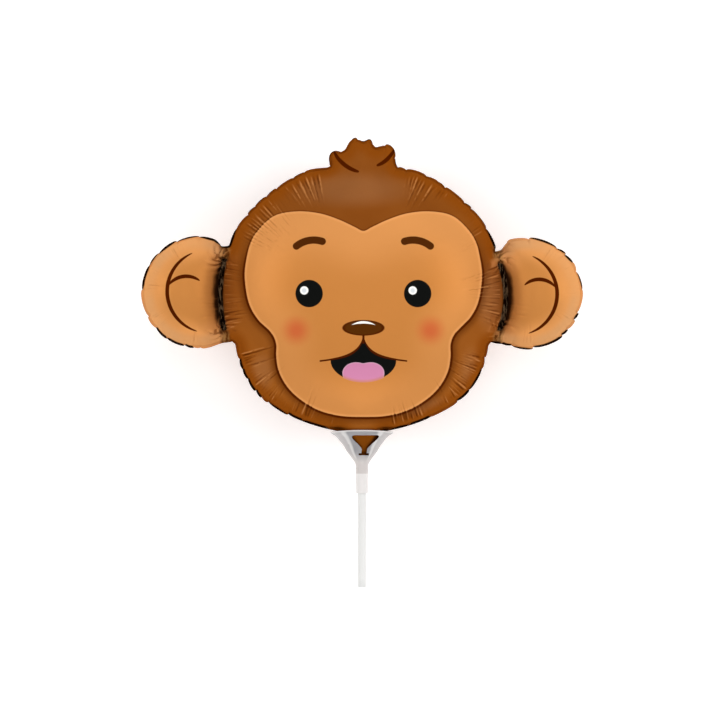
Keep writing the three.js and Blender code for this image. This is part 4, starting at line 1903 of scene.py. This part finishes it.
@dataclass
class Studio:
    """The floor, the lights and the camera that looks straight down."""

    target: Vector = field(default_factory=lambda: Vector((0, -0.0449, SEAM_HEIGHT * MM)))
    boxes: tuple[SoftBox, ...] = (
        SoftBox("light_over", (0.0, 0.3, 2.6), 1.2, 6),
        SoftBox("light_left", (-1.7, 0.4, 1.5), 1.4, 18.5),
        SoftBox("light_right", (1.7, 0.3, 1.5), 1.4, 21),
        SoftBox("light_top", (0.3, 2.0, 1.4), 1.4, 12),
        SoftBox("light_low", (0.0, -2.0, 1.4), 1.4, 17),
    )
    world_overhead: float = 0.35
    world_horizon: float = 0.5
    floor_ink: Ink = Ink(246, 246, 246)
    floor_glow: float = 0.3
    floor_width: float = 10.0
    camera_distance: float = 10.0
    frame_width: float = 0.4923
    sensor: float = 36.0

    def lay_floor(self) -> None:
        """Lays the plain pale floor."""
        bpy.ops.object.select_all(action="DESELECT")
        bpy.ops.mesh.primitive_plane_add(size=self.floor_width)
        floor = bpy.context.object
        floor.name = "floor"
        shader = Shader("floor_paper", Finish(roughness=0.8, specular=0.2))
        shader.set("Base Color", self.floor_ink.linear)
        shader.set("Emission Color", self.floor_ink.linear)
        shader.set("Emission Strength", self.floor_glow)
        floor.data.materials.append(shader.material)

    def light(self) -> None:
        """Hangs the soft boxes and sets the even light round them."""
        for box in self.boxes:
            box.hang(self.target)
        world = bpy.data.worlds.new("studio")
        world.use_nodes = True
        tree = world.node_tree
        place = tree.nodes.new("ShaderNodeTexCoord")
        split = tree.nodes.new("ShaderNodeSeparateXYZ")
        shade = tree.nodes.new("ShaderNodeMapRange")
        shade.inputs["From Max"].default_value = 0.8
        shade.inputs["To Min"].default_value = self.world_horizon
        shade.inputs["To Max"].default_value = self.world_overhead
        tree.links.new(place.outputs["Generated"], split.inputs[0])
        tree.links.new(split.outputs["Z"], shade.inputs["Value"])
        back = tree.nodes["Background"]
        back.inputs["Color"].default_value = (1, 1, 1, 1)
        tree.links.new(shade.outputs[0], back.inputs["Strength"])
        scene = bpy.context.scene
        scene.world = world
        scene.view_settings.view_transform = "Standard"

    def place_camera(self) -> None:
        """Puts the camera over the balloon, at the photo's scale where the welds are."""
        lens = bpy.data.cameras.new("camera")
        lens.sensor_width = self.sensor
        lens.lens = self.sensor * self.camera_distance / self.frame_width
        camera = bpy.data.objects.new("camera", lens)
        camera.location = self.target + Vector((0, 0, self.camera_distance))
        bpy.context.scene.collection.objects.link(camera)
        bpy.context.scene.camera = camera


def main() -> None:
    """Builds the balloon piece by piece, then the studio round it."""
    logging.basicConfig(level=logging.INFO, format="%(message)s")
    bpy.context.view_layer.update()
    cup = Cup()
    stick = Stick(cup.stick_top)
    envelope = FoilEnvelope(cup)
    balloon = envelope.build()
    FoilPrint().dress(balloon)
    settle(balloon, "balloon_envelope")
    for maker, slot, node in (
        (cup, "clear_plastic", "balloon_cup"),
        (stick, "white_plastic", "balloon_stick"),
    ):
        piece = maker.build()
        maker.dress(piece)
        settle(piece, node)
    studio = Studio()
    studio.lay_floor()
    studio.light()
    studio.place_camera()


if __name__ == "__main__":
    main()
